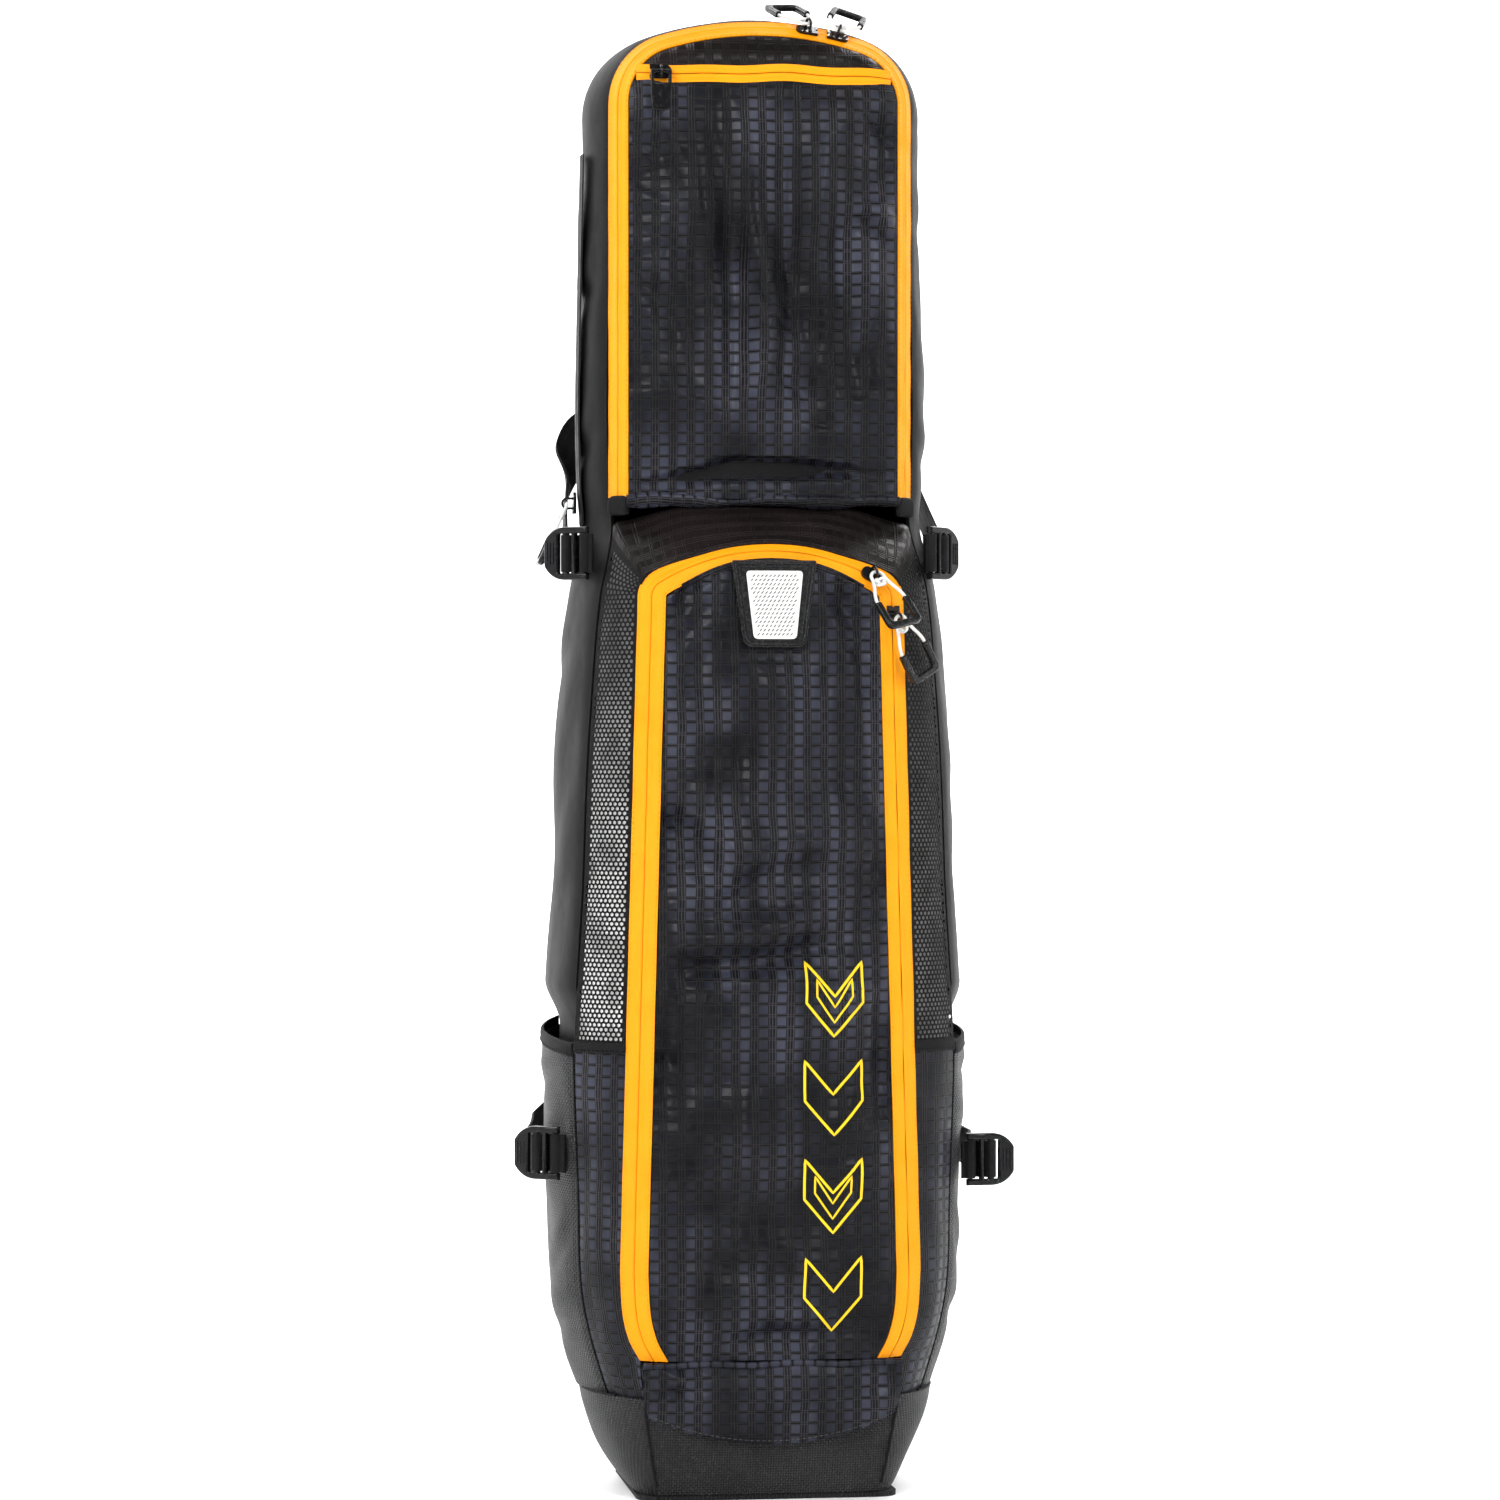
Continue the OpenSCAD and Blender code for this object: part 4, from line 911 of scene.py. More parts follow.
roll = [(x_, -FLAP_FRONT - 0.5 - 1.2 * math.sin(x_ / 17), FLAP_FOOT - 0.3 + 0.8 * math.sin(x_ / 11 + 1))
        for x_ in np.linspace(-FLAP_HALF + HOOD_ACROSS - 1, FLAP_HALF - HOOD_ACROSS + 1, 60)]
swell_r = [4.2 + 0.9 * math.sin(i / 5.3) + 0.5 * math.sin(i / 2.1) for i in range(60)]
cloth("hood_foot_roll", [tube_parts(roll, swell_r, 14)], "hood_flap", PLAID, "embossed_cloth")
crown_half = [p for p in hood_half_path(HOOD_ACROSS + 0.6) if p[1] > ZIP_Z + 5.5]
crown_rows = [(flap_x(ZIP_EDGE) + 0.4, ZIP_EDGE)] + even_rows(crown_half, 1.6)
top_z = crown_rows[-1][1]


def crown_bulge(u, z):
    t = (z - ZIP_EDGE) / (top_z - ZIP_EDGE)
    puff = 1.5 * math.sin(math.pi * min(max(t, 0), 1)) * swell(u, 4)
    return mix(flat_front(u), 0.4 * swell(u, 4), ease(t)) + puff


crown = filled(crown_rows, FLAP_FRONT + 0.2, crown_bulge, 60)
x, z = crown[..., 0], crown[..., 2]
crown[..., 1] -= edge_fade(crown.shape, 3, 4) * waves(x, z, 40, 21, 0.8)
panel("hood_crown_cloth", crown, FRONT, "hood_flap", PLAID_DARK, "embossed_cloth", "hood_crown", "xz")


# ---- Zips ----
def zip_grid(half_of, y0, across, drop, shares, lifts, loose, seed):
    """Rows along a zip line of points at shares of its slope, each lifted off the slope."""
    lines = [loop(half_of(across * s)) for s in shares]
    g = np.array([[(line[i][0], -y0 - drop * s, line[i][1]) for line, s in zip(lines, shares)]
                  for i in range(len(lines[0]))])
    n = normals(g)
    n *= -np.sign(n[..., 1:2])
    g = g + n * np.asarray(lifts)[None, :, None]
    run = np.cumsum(np.linalg.norm(np.gradient(g[:, 0], axis=0), axis=1))[:, None]
    return g + n * waves(run, run * 0, 46, seed, loose)[..., None]


def zip_uv(g):
    """Lengths across and along a zip's tape."""
    a = np.array([run_of(row) for row in g])
    b = run_of(g[:, g.shape[1] // 2])
    return np.stack([a, np.repeat(b[:, None], g.shape[1], 1)], 2)


OUTER = ([0.0, 0.06, 0.22, 0.34, 0.38, 0.42, 0.455, 0.488], [0.1, 0.4, 0.4, 0.4, 0.75, 0.9, 0.75, 0.2])
INNER = ([0.512, 0.545, 0.58, 0.62, 0.66, 0.78, 0.94, 1.0], [0.2, 0.75, 0.9, 0.75, 0.4, 0.4, 0.4, 0.1])
COIL = ([0.45, 0.48, 0.5, 0.52, 0.55], [-0.9, -0.2, -0.1, -0.2, -0.9])
LOOSE = 0.35
ZIPS = (("hood", "hood_flap", 31, hood_half_path, FLAP_Y, HOOD_ACROSS, HOOD_DROP),
        ("door", "pocket_door", 32, door_half_path, DOOR_Y, DOOR_ACROSS, DOOR_DROP))
for name, moving, seed, *path in ZIPS:
    for part, body, line in (("outer", "bag", OUTER), ("inner", moving, INNER)):
        g = zip_grid(*path, *line, LOOSE, seed)
        cloth(f"{name}_zip_{part}_tape", [sheet_parts(g, 1.3, (0, -1, 0.2), zip_uv(g))], body, ORANGE,
              "bright_zip", f"{name}_zip_{part}")
        at = 1 if part == "outer" else -2
        nn = normals(g)[:, at]
        nn = nn * -np.sign(nn[:, 1:2])
        row = g[:, at] + 0.05 * nn
        cloth(f"{name}_zip_{part}_stitches", [stitch_parts(row, nn, 3.4, 2.4, 0.26)], body, THREAD_ORANGE,
              "bright_zip")
    # the coil under the groove, in the darker orange that paints its shade
    g = zip_grid(*path, *COIL, LOOSE, seed)
    cloth(f"{name}_zip_coil", [sheet_parts(g, 0.8, (0, -1, 0.2), zip_uv(g))], "bag", ORANGE_COIL,
          "bright_zip")


def lap(name, s_edge, s_deep, reach, body, material):
    """Cloth folded over the door zip's tape along its crown, tapering off round the corners."""
    line = loop(door_half_path(DOOR_ACROSS * s_edge))
    crown_only = [k for k, (x_, z_) in enumerate(line) if z_ > 596]
    rows = []
    for k in crown_only:
        x_ = line[k][0]
        deep = s_edge + (s_deep - s_edge) * ease((reach - abs(x_)) / 45)
        row = []
        for t, lift in ((-0.25, -0.5), (0.1, 1.2), (0.6, 1.6), (0.92, 1.5), (1.0, 1.0), (1.02, 0.1)):
            s_ = s_edge + (deep - s_edge) * t if t > 0 else s_edge + (s_edge - 0.5) * 0.1
            px, pz = loop(door_half_path(DOOR_ACROSS * s_))[k]
            row.append((px, -DOOR_Y - DOOR_DROP * s_ - lift * 0.85, pz + lift * 0.5))
        rows.append(row)
    cloth(name, [sheet_parts(np.array(rows), 1.0, (0, -1, 0.6))], body, material, "embossed_cloth")


# the yoke's lap is in the darker plaid, as painted shade under the hood's foot
lap("yoke_lap", 0.0, 0.24, 88, "bag", PLAID_DARK)
lap("door_lap", 1.0, 0.8, 69, "pocket_door", PLAID)


# The flat zip of the hood pocket
def flat_zip(z0, z1, lifts):
    """A wavy strip across the hood between two heights."""
    half = flap_x(ZIP_Z) + 0.6
    ts = np.linspace(0, 1, len(lifts))
    out = []
    for x_ in np.linspace(-1, 1, 100) * half:
        y_ = -FLAP_FRONT - 0.4 - flat_front(x_ / half)
        wave = 0.8 * math.sin(x_ / 19 + 1.0) + 0.5 * math.sin(x_ / 8.5)
        out.append([[x_, y_ - lift, mix(z0, z1, t) + wave] for t, lift in zip(ts, lifts)])
    return np.array(out)


low_zip = flat_zip(ZIP_Z - 5.6, ZIP_Z - 0.3, [0.3, 0.5, 0.6, 1.1, 1.2, 0.5])
high_zip = flat_zip(ZIP_Z + 0.3, ZIP_Z + 5.6, [0.5, 1.2, 1.1, 0.6, 0.5, 0.3])
cloth("hood_pocket_zip_tapes", [sheet_parts(g, 1.2, FRONT, zip_uv(g)) for g in (low_zip, high_zip)],
      "hood_flap", ORANGE, "bright_zip", "hood_pocket_zip")
# the coil under the groove, in the darker orange that paints its shade
g = flat_zip(ZIP_Z - 1.4, ZIP_Z + 1.4, [-0.9, -0.7, -0.9])
cloth("hood_pocket_zip_coil", [sheet_parts(g, 0.6, FRONT, zip_uv(g))], "hood_flap", ORANGE_COIL, "bright_zip")


# ---- Gussets round the front pocket ----
YOKE_LOW, YOKE_HIGH = 583, 640


def gusset_root(side, z, q):
    """Where the gusset meets the shell: up the front seam to q = 0.5, then along the foot of the hood."""
    if q < 0.5:
        z = mix(YOKE_LOW, YOKE_HIGH, 2 * q) if q > 0 else z
        return [side * (seam_x(z) - GAP), seam_depth(z) - GAP, z]
    k = ease(4 * q - 2)
    return [side * mix(seam_x(YOKE_HIGH), 0, 2 * q - 1), mix(seam_depth(YOKE_HIGH), 2 - FLAP_FRONT, k),
            mix(YOKE_HIGH, FLAP_FOOT - 4, k)]


def gusset(side, path, qs, cols):
    """Rows of points from the pocket's edge back to the shell, bowed a little outwards."""
    rows = []
    for (x_, z_), q in zip(path, qs):
        a, b = np.array([side * x_, -DOOR_Y, z_]), np.array(gusset_root(side, z_, q))
        rows.append([a + (b - a) * v + np.array([side, -1, 0]) * 1.75 * math.sin(math.pi * v)
                     for v in np.linspace(0.0, 1.0, cols)])
    return np.array(rows)


def on_grid(g, across, up, s_mm, t_mm):
    """Points of a grid from lengths: s_mm over its width across, t_mm up it. up holds its rows' heights."""
    n, m = g.shape[:2]
    t_mm = np.clip(t_mm, 0, up[-1])
    row = np.interp(t_mm, up, np.arange(n))
    col = np.clip(s_mm / np.interp(t_mm, up, across), 0, 1) * (m - 1)
    i, j = np.minimum(row.astype(int), n - 2), np.minimum(col.astype(int), m - 2)
    f, k = (row - i)[:, None], (col - j)[:, None]
    return ((g[i, j] * (1 - k) + g[i, j + 1] * k) * (1 - f)
            + (g[i + 1, j] * (1 - k) + g[i + 1, j + 1] * k) * f)


CELL_WIDE, CELL_HIGH = 3.7, 3.0
HOLE_WIDE, HOLE_HIGH = 1.55, 1.3
NET_THICK, NET_EDGE = 0.35, 3.5


def net_cells(wide, high):
    """A lattice of six-sided cells, flat: its points in millimetres, its faces, and its holes' outlines."""
    ids, points, faces, holes = {}, [], [], []

    def corner_id(s_, t_):
        key = (round(s_, 2), round(t_, 2))
        if key not in ids:
            ids[key] = len(points)
            points.append(key)
        return ids[key]
    for r_ in range(int(high[-1] / CELL_HIGH) + 2):
        for c_ in range(int(wide.max() / CELL_WIDE) + 2):
            cs, ct = (c_ + 0.5 * (r_ % 2)) * CELL_WIDE, r_ * CELL_HIGH
            here = np.interp(min(ct, high[-1]), high, wide)
            if cs > here + CELL_WIDE * 0.6:
                continue
            a, b = CELL_WIDE / 2, CELL_HIGH / 3
            cell = [corner_id(cs + p_, ct + q_) for p_, q_ in
                    ((a, b), (0, 2 * b), (-a, b), (-a, -b), (0, -2 * b), (a, -b))]
            if NET_EDGE < cs < here - NET_EDGE and 4 < ct < high[-1] - 4:
                hole = list(range(len(points), len(points) + 6))
                points.extend((cs + HOLE_WIDE * p_, ct + HOLE_HIGH * q_) for p_, q_ in
                              ((0.86, 0.5), (0, 1), (-0.86, 0.5), (-0.86, -0.5), (0, -1), (0.86, -0.5)))
                faces += [[cell[k], cell[(k + 1) % 6], hole[(k + 1) % 6], hole[k]] for k in range(6)]
                holes.append(hole)
            else:
                faces.append(cell)
    return np.array(points, float), faces, holes


full = door_half_path(0)
low_path = [(HEM_HALF - 1, BOOT_Z + 1), (85.2, 80)] + [p for p in full if p[1] < MOUTH_Z]
mesh_path = [p for p in full if p[1] > MOUTH_Z - 4 and p[1] < arch_centre(*DOOR_ARCH)]
corner = arch(*DOOR_ARCH, 0)
CORNER_N = 9
mesh_path = mesh_path[:-4] + corner[:CORNER_N]
MESH_Q = 0.42  # how far round gusset_root the mesh ends and the yoke starts
qs = [0] * (len(mesh_path) - CORNER_N) + [MESH_Q * i / (CORNER_N - 1) for i in range(CORNER_N)]
for side, word in SIDES:
    g = gusset(side, low_path, [0] * len(low_path), 14)
    f = edge_fade(g.shape, 3, 3)
    g[..., 1] -= f * (waves(g[..., 0], g[..., 2], 60, 40 + side, 1.3))
    g[..., 0] += side * f * waves(g[..., 1], g[..., 2], 45, 44 + side, 1.2)
    panel(f"lower_gusset_{word}_cloth", g, (side, -1, 0), "bag", PLAID, "embossed_cloth",
          f"lower_gusset_{word}")
    seam = gusset(side, [(door_side_x(MOUTH_Z), MOUTH_Z - 1)], [0], 14)[0]
    out = unit([side * 0.75, -0.75, 0])
    fold = np.array([seam + out * 1.6 + np.array([0, 0, dz]) for dz in (-4.5, -3, 0, 2.2)])
    sewn = stitch_parts(seam + out * 1.7 + np.array([0, 0, -3.2]), out, 3.6)
    cloth(f"gusset_hem_{word}", [sheet_parts(fold, 1.4, (side, -1, 0)), sewn], "bag", PLAIN, "plain_cloth")

    # The mesh, a net of open cells over the gusset
    g = gusset(side, mesh_path, qs, 12)
    wide = np.linalg.norm(np.diff(g, axis=1), axis=2).sum(1)
    high = run_of(g[:, 5])
    coords, flat_faces, holes = net_cells(wide, high)
    top = on_grid(g, wide, high, coords[:, 0], coords[:, 1])
    n_all = normals(g)[len(g) // 2, 6]
    n_all = n_all * np.sign(n_all @ np.array([side, -1, 0]))
    k = len(top)
    low = top - n_all * NET_THICK
    p0, p1, p2 = top[flat_faces[40][:3]]
    flip = np.cross(p1 - p0, p2 - p1) @ n_all < 0
    faces = [f[::-1] for f in flat_faces] if flip else flat_faces
    faces = faces + [[q + k for q in f[::-1]] for f in faces]
    for hole in holes:
        for a, b in zip(hole, hole[1:] + hole[:1]):
            faces.append([a, b, b + k, a + k] if flip else [b, a, a + k, b + k])
    obj = build(f"mesh_gusset_{word}_net", np.concatenate([top, low]), faces,
                np.concatenate([coords, coords]), 60)
    bm = bmesh.new()
    bm.from_mesh(obj.data)
    bmesh.ops.remove_doubles(bm, verts=bm.verts, dist=0.00003)
    bmesh.ops.dissolve_degenerate(bm, dist=0.00002, edges=bm.edges)
    bm.to_mesh(obj.data)
    bm.free()
    finish_piece(obj, "bag", MESH, "mesh", f"mesh_gusset_{word}")
    back = g[:, 1:-1] - n_all * 0.9
    cloth(f"mesh_backing_{word}", [sheet_parts(back, 0.8, (side, -1, 0))], "bag", BACKING, "mesh")

# The yoke, over the top of the pocket, in the darker plaid as painted shade under the hood's foot
half = corner[CORNER_N - 1:]
yq = [MESH_Q + 0.58 * (i / (len(half) - 1)) ** 0.8 for i in range(len(half))]
rows = [gusset(s, half, yq, 16) for s in (LEFT, RIGHT)]
g = np.concatenate([rows[0], rows[1][-2::-1]])
f = edge_fade(g.shape, 3, 3)
g[..., 2] += f * waves(g[..., 0], g[..., 1], 50, 61, 1.2)
panel("yoke_cloth", g, (0, -1, 1), "bag", PLAID_DARK, "embossed_cloth", "yoke_panel")


# ---- Side and top of the shell ----
CAP_FOOT = 905


def side_grid(side):
    """The side panel's points, set in behind the mouth of its pocket."""
    zs = np.concatenate([np.linspace(BOOT_Z + 2, MOUTH_Z - 5, 40), np.linspace(MOUTH_Z, 345, 16),
                         np.linspace(350, CAP_FOOT, 112)])
    return np.array([[wall(side, z_, v, -panel_inset(z_)) for v in np.linspace(0.0, 1.0, 30)] for z_ in zs])


SIDE_CREASES = {
    "left": [(-40, 800, 30, 770, 1.9, 9, 3), (-30, 560, 30, 520, 1.4, 12, 3),
             (-44, 700, 10, 668, 1.8, 9, 3)],
    "right": [(-30, 840, 36, 815, 1.5, 10, 3), (-40, 500, 30, 470, 1.3, 12, 3),
              (-40, 690, 20, 664, 1.6, 9, 3)],
}
for side, word in SIDES:
    g = side_grid(side)
    f = edge_fade(g.shape, 6, 4)
    y, z = g[..., 1], g[..., 2]
    g[..., 0] += side * f * (folds(y, z, SIDE_CREASES[word]) + waves(y, z, 130, 70 + side, 2.2)
                             + waves(y, z, 50, 72 + side, 0.8))
    panel(f"side_panel_{word}_cloth", g, (side, 0, 0), "bag", SMOOTH, "smooth_cloth", f"side_panel_{word}",
          "yz")
front = loop(arch(*HOOD_ARCH, 0))
crest = loop(arch(HOOD_HALF - 2, HOOD_TOP + 4, 52, HOOD_CROWN_R, 0))
rear = loop(arch(*REAR_ARCH, 0))
cap = []
for i in range(len(front)):
    row = []
    for v in np.linspace(0.0, 1.0, 30):
        k = math.sin(math.pi * v) ** 0.75 if 0 < v < 1 else 0.0
        p = mix(front[i], rear[i], v) + (crest[i] - (front[i] + rear[i]) / 2) * k
        row.append([p[0], mix(-FLAP_Y, SIDE_BACK_Y, v), p[1]])
    cap.append(row)
cap = np.array(cap)
foot_l, foot_r = side_grid(LEFT)[-1], side_grid(RIGHT)[-1]
cap = np.concatenate([[foot_l, 0.5 * (foot_l + cap[0])], cap, [0.5 * (foot_r + cap[-1]), foot_r]])
f = edge_fade(cap.shape, 4, 4)
cap += normals(cap) * (f * waves(cap[..., 0], cap[..., 1] + cap[..., 2], 70, 75, 1.2))[..., None]
panel("top_cap_cloth", cap, UP, "bag", SMOOTH, "smooth_cloth", "top_cap")


# ---- Side pockets ----
def mouth(v):
    """The mouth rises a little towards the back."""
    return MOUTH_Z + 12 * v


POCKET_CREASES = [(-60, 280, 20, 262, 1.8, 6, 3), (-66, 120, 10, 100, 1.8, 8, 3),
                  (-64, 245, -20, 215, 1.6, 7, 3), (-68, 180, -30, 150, 1.5, 7, -3)]
for side, word in SIDES:
    vs = np.linspace(0.0, 0.97, 30)
    g = np.array([[wall(side, mix(BOOT_Z + 1, mouth(v) - 6, t), v) for v in vs]
                  for t in np.linspace(0, 1, 60)])
    y, z = g[..., 1], g[..., 2]
    f = edge_fade(g.shape, 4, 3)
    g[..., 0] += side * f * (waves(y, z, 70, 80 + side, 1.3) + folds(y, z, POCKET_CREASES))
    panel(f"side_pocket_{word}_cloth", g, (side, 0, 0), "bag", COARSE, "plain_cloth",
          f"side_pocket_{word}", "yz")
    band = np.array([[wall(side, mouth(v) - d, v, o) for v in vs] for d, o in
                     ((9, 0.5), (7.5, 0.9), (3, 1.1), (0.8, 0.8), (0, 0), (0, -1.2))])
    row = np.array([wall(side, mouth(v) - 7.4, v, 1.0) for v in vs])
    parts = [sheet_parts(band, 1.6, (side, 0, 0)), stitch_parts(row, (side, 0, 0), 3.6)]
    cloth(f"side_pocket_binding_{word}", parts, "bag", PLAIN, "plain_cloth",
          *(("side_pocket_bindings",) if side == LEFT else ()))


# ---- Boot and hem ----
BOOT_FOOT = 3.2


def hem_foot(u):
    return 57 - 19 * (1 - u * u)


def boot_side_point(side, v, t):
    """A point of the boot's side: v runs from its front corner to its back one, t upwards."""
    top_x = wall(side, BOOT_Z, v)[0] - side * 20.5 * (1 - v) ** 5
    low_x = side * (BASE_HALF - 14 * abs(2 * v - 1) ** 6)
    y_top, y_low = mix(-102, SIDE_BACK_Y, v), mix(-89, SIDE_BACK_Y - 3, v)
    puff = side * 4 * math.sin(math.pi * t) * math.sin(math.pi * v)
    return [mix(low_x, top_x, t ** 0.8) + puff, mix(y_low, y_top, t), mix(BOOT_FOOT, BOOT_Z + 1, t)]


ts = np.linspace(0, 1, 22)
left_part = np.array([[boot_side_point(LEFT, v, t) for v in np.linspace(0, 1, 34)] for t in ts])
right_part = np.array([[boot_side_point(RIGHT, v, t) for v in np.linspace(1, 0, 34)] for t in ts])
between = np.array([[a * (1 - s) + b * s + np.array([0, 4.5 * math.sin(math.pi * s) ** 0.4, 0])
                     for s in np.linspace(0, 1, 26)[1:-1]]
                    for a, b in zip(left_part[:, -1], right_part[:, 0])])
g = np.concatenate([left_part, between, right_part], 1)
f = edge_fade(g.shape, 3, 3)
uv = lengths_uv(g)
wobble = waves(uv[..., 0], uv[..., 1], 60, 91, 1.2) * f
g += normals(g) * wobble[..., None] * 0.7
parts = [sheet_parts(g, CLOTH, BACK, uv)]
us = np.linspace(-1, 1, 50)
boot = []
for t in np.linspace(0, 1, 18):
    row = []
    for u in us:
        z_ = mix(BOOT_FOOT, hem_foot(u) + 1.5, t)
        edge = boot_side_point(RIGHT, 0, (z_ - BOOT_FOOT) / (BOOT_Z + 1 - BOOT_FOOT))
        push = 6.5 * (1 - abs(u) ** 4) * (0.35 + 0.65 * t)
        row.append([u * edge[0], edge[1] - push, z_])
    boot.append(row)
boot = np.array(boot)
parts.append(sheet_parts(boot, CLOTH, FRONT, boot[..., [0, 2]]))
cloth("boot_cloth", parts, "bag", COARSE, "coarse_cloth", "boot_front", "boot_sides", "boot_back")
seams = [tube_parts(g[2:, 0] + [-0.4, -0.4, 0], 1.0, 8), tube_parts(g[2:, -1] + [0.4, -0.4, 0], 1.0, 8),
         tube_parts(g[-1, 4:-4] - normals(g)[-1, 4:-4] * np.sign(normals(g)[-1, 46][1]) * 0.6, 0.9, 8)]
cloth("boot_piping", seams, "bag", PLAIN, "coarse_cloth")

hem = []
HEM_LOW_Y, HEM_TOP_Y = -105.5, -DOOR_FRONT + 1.5
for t in np.linspace(0, 1, 22):
    row = []
    for u in us:
        z_ = mix(hem_foot(u), DOOR_FOOT - 1.5, t)
        side_in = 8.0 * abs(u) ** 8 * (1 - t)
        puff = 6 * math.sin(math.pi * (0.1 + 0.8 * t)) * (1 - 0.6 * u * u)
        row.append([u * (HEM_HALF + 1.5 * t), mix(HEM_LOW_Y + side_in, HEM_TOP_Y, t) - puff, z_])
    hem.append(row)
hem = np.array(hem)
x, z = hem[..., 0], hem[..., 2]
HEM_CREASES = [(-84, 86, -50, 58, 4.5, 4.5, 3), (-80, 66, -44, 76, 3.6, 4, 2), (-72, 90, -36, 82, 2.8, 3, 2),
               (82, 86, 54, 64, 3.2, 5, 2), (-40, 62, 40, 60, 2.4, 6, -3)]
hem[..., 1] -= edge_fade(hem.shape, 2, 2) * (folds(x, z, HEM_CREASES) + waves(x, z, 50, 95, 2.0))
panel("hem_cloth", hem, FRONT, "bag", PLAID, "embossed_cloth", "pocket_hem", "xz")
roll = [(x_, -DOOR_FRONT - 0.6 + 0.5 * math.sin(x_ / 13), DOOR_FOOT - 1.6 + 0.6 * math.sin(x_ / 9))
        for x_ in np.linspace(-HEM_HALF - 1, HEM_HALF + 1, 60)]
cloth("hem_roll", [tube_parts(roll, 2.3, 12)], "bag", PLAID, "embossed_cloth")
row = hem[1] + [0, -0.3, 0]
cloth("hem_stitches", [stitch_parts(row, FRONT, 3.8)], "bag", THREAD, "plain_cloth")


# ---- Back: a padded panel with sewn channels ----
def back_half(z_):
    if z_ < arch_centre(*REAR_ARCH):
        return half_at(min(z_, 900)) - BACK_IN - 0.6
    xs, zs = zip(*arch(*REAR_ARCH, 0, 30, 30))
    return float(np.interp(z_, zs, xs))


CHANNELS = range(150, 823, 112)
RAIL = 0.62  # the two upright channels, as a share of the half width
SEWN = 0.55  # how much of the padding a row of stitches takes away
zs = np.concatenate([np.linspace(BOOT_Z + 1, HOOD_TOP - 20, 148),
                     np.linspace(HOOD_TOP - 18, HOOD_TOP - 8.4, 7)])
g = []
for z_ in zs:
    w = back_half(z_)
    groove = min(abs(z_ - c) for c in CHANNELS)
    row = []
    for u in np.linspace(-1, 1, 56):
        rails = min(abs(abs(u) - RAIL) * w, 30)
        puff = 8.0 * (1 - abs(u) ** 10)
        puff *= 1 - SEWN * math.exp(-(groove / 4.0) ** 2) * (abs(u) < RAIL)
        puff *= 1 - SEWN * math.exp(-(rails / 4.0) ** 2)
        row.append([u * w, SIDE_BACK_Y + 0.6 + puff, z_])
    g.append(row)
g = np.array(g)
g[..., 1] += edge_fade(g.shape, 4, 3) * waves(g[..., 0], g[..., 2], 80, 101, 0.9)
back = panel("back_panel_pad", g, BACK, "bag", PADDED, "padded_cloth", "back_panel", "xz")
rim = np.concatenate([g[:, 0], g[-1, 1:-1], g[::-1, -1]])
cloth("back_binding", [tube_parts(rim + [0, 0.4, 0], 1.9, 10)], "bag", PLAIN, "plain_cloth")

# ---- Shoulder straps ----
STRAP_Y = BACK_Y + 5.2
STRAP = [(92, 2, 290), (86, 6, 330), (76, 11, 390), (66, 15, 450), (60, 17, 510), (58, 17, 570),
         (60, 14, 625), (67, 9, 665), (78, 4, 692)]
for side, word in SIDES:
    line = smooth_line([(side * x_, STRAP_Y + o + 9, z_) for x_, o, z_ in STRAP], 8)
    along_ = np.gradient(line, axis=0)
    across_ = np.cross(along_, [0, 1, 0])
    t = np.linspace(0, 1, len(line))
    w = 54 * (1 - 0.3 * np.maximum(0, 1 - t / 0.13) ** 2 - 0.3 * np.maximum(0, 1 - (1 - t) / 0.13) ** 2)
    g = ribbon_grid(line, across_, w, 17)
    s = np.linspace(-1, 1, 17)
    puff = 1.4 * (1 - s ** 4) - 1.2 * np.exp(-((np.abs(s) - 0.72) / 0.07) ** 2)
    g[..., 1] += puff[None]
    thick = np.repeat((8.5 * (1 - s ** 6) + 1.5)[None], len(line), 0)
    strap = cloth(f"shoulder_strap_{word}_pad", [sheet_parts(g, thick, BACK)], "bag", PADDED, "padded_cloth",
                  f"shoulder_strap_{word}")
    edges = [tube_parts(g[:, j] + [0, -0.9, 0], 1.5, 8) for j in (0, -1)]
    cloth(f"shoulder_strap_{word}_binding", edges, "bag", PLAIN, "plain_cloth")


# ---- Webbing ----
def strap_path(side, path):
    """A strap's smooth line and the way across it: its face looks back over the back, and out on the side."""
    pts = smooth_line([(side * a, b, c) for a, b, c in path], 7)
    out = [unit([side * mix(0.2, 1, ease((66 - b) / 16)), mix(-0.05, 1, ease((b - 40) / 24)), 0])
           for _, b, _ in pts]
    return pts, np.cross(np.gradient(pts, axis=0), np.array(out))


LOCKS = [  # name, side, place of the bar, turn
    ("upper_lock_left", LEFT, 118, -60, UPPER_LOCK_Z, 38),
    ("upper_lock_right", RIGHT, 111, -70, UPPER_LOCK_Z + 1, 46),
    ("lower_lock_left", LEFT, 137, -59, LOWER_LOCK_Z + 4, 35),
    ("lower_lock_right", RIGHT, 141, -50, LOWER_LOCK_Z - 4, 8),
]


def lock_axes(side, turn):
    """The way out from a lock's bar, and the way that its face looks."""
    q = math.radians(turn)
    ex = np.array([side * math.cos(q), math.sin(q), 0])
    ey = np.cross([0.0, 0, 1], ex)
    return ex, -ey if ey[1] > 0 else ey


def behind_lock(side, px, py, pz, turn):
    """Where a strap ends, behind the slots of its lock."""
    ex, face = lock_axes(side, turn)
    end = np.array([side * px, py, pz]) + ex * 20 - face * 7.5
    return side * end[0], end[1], end[2]


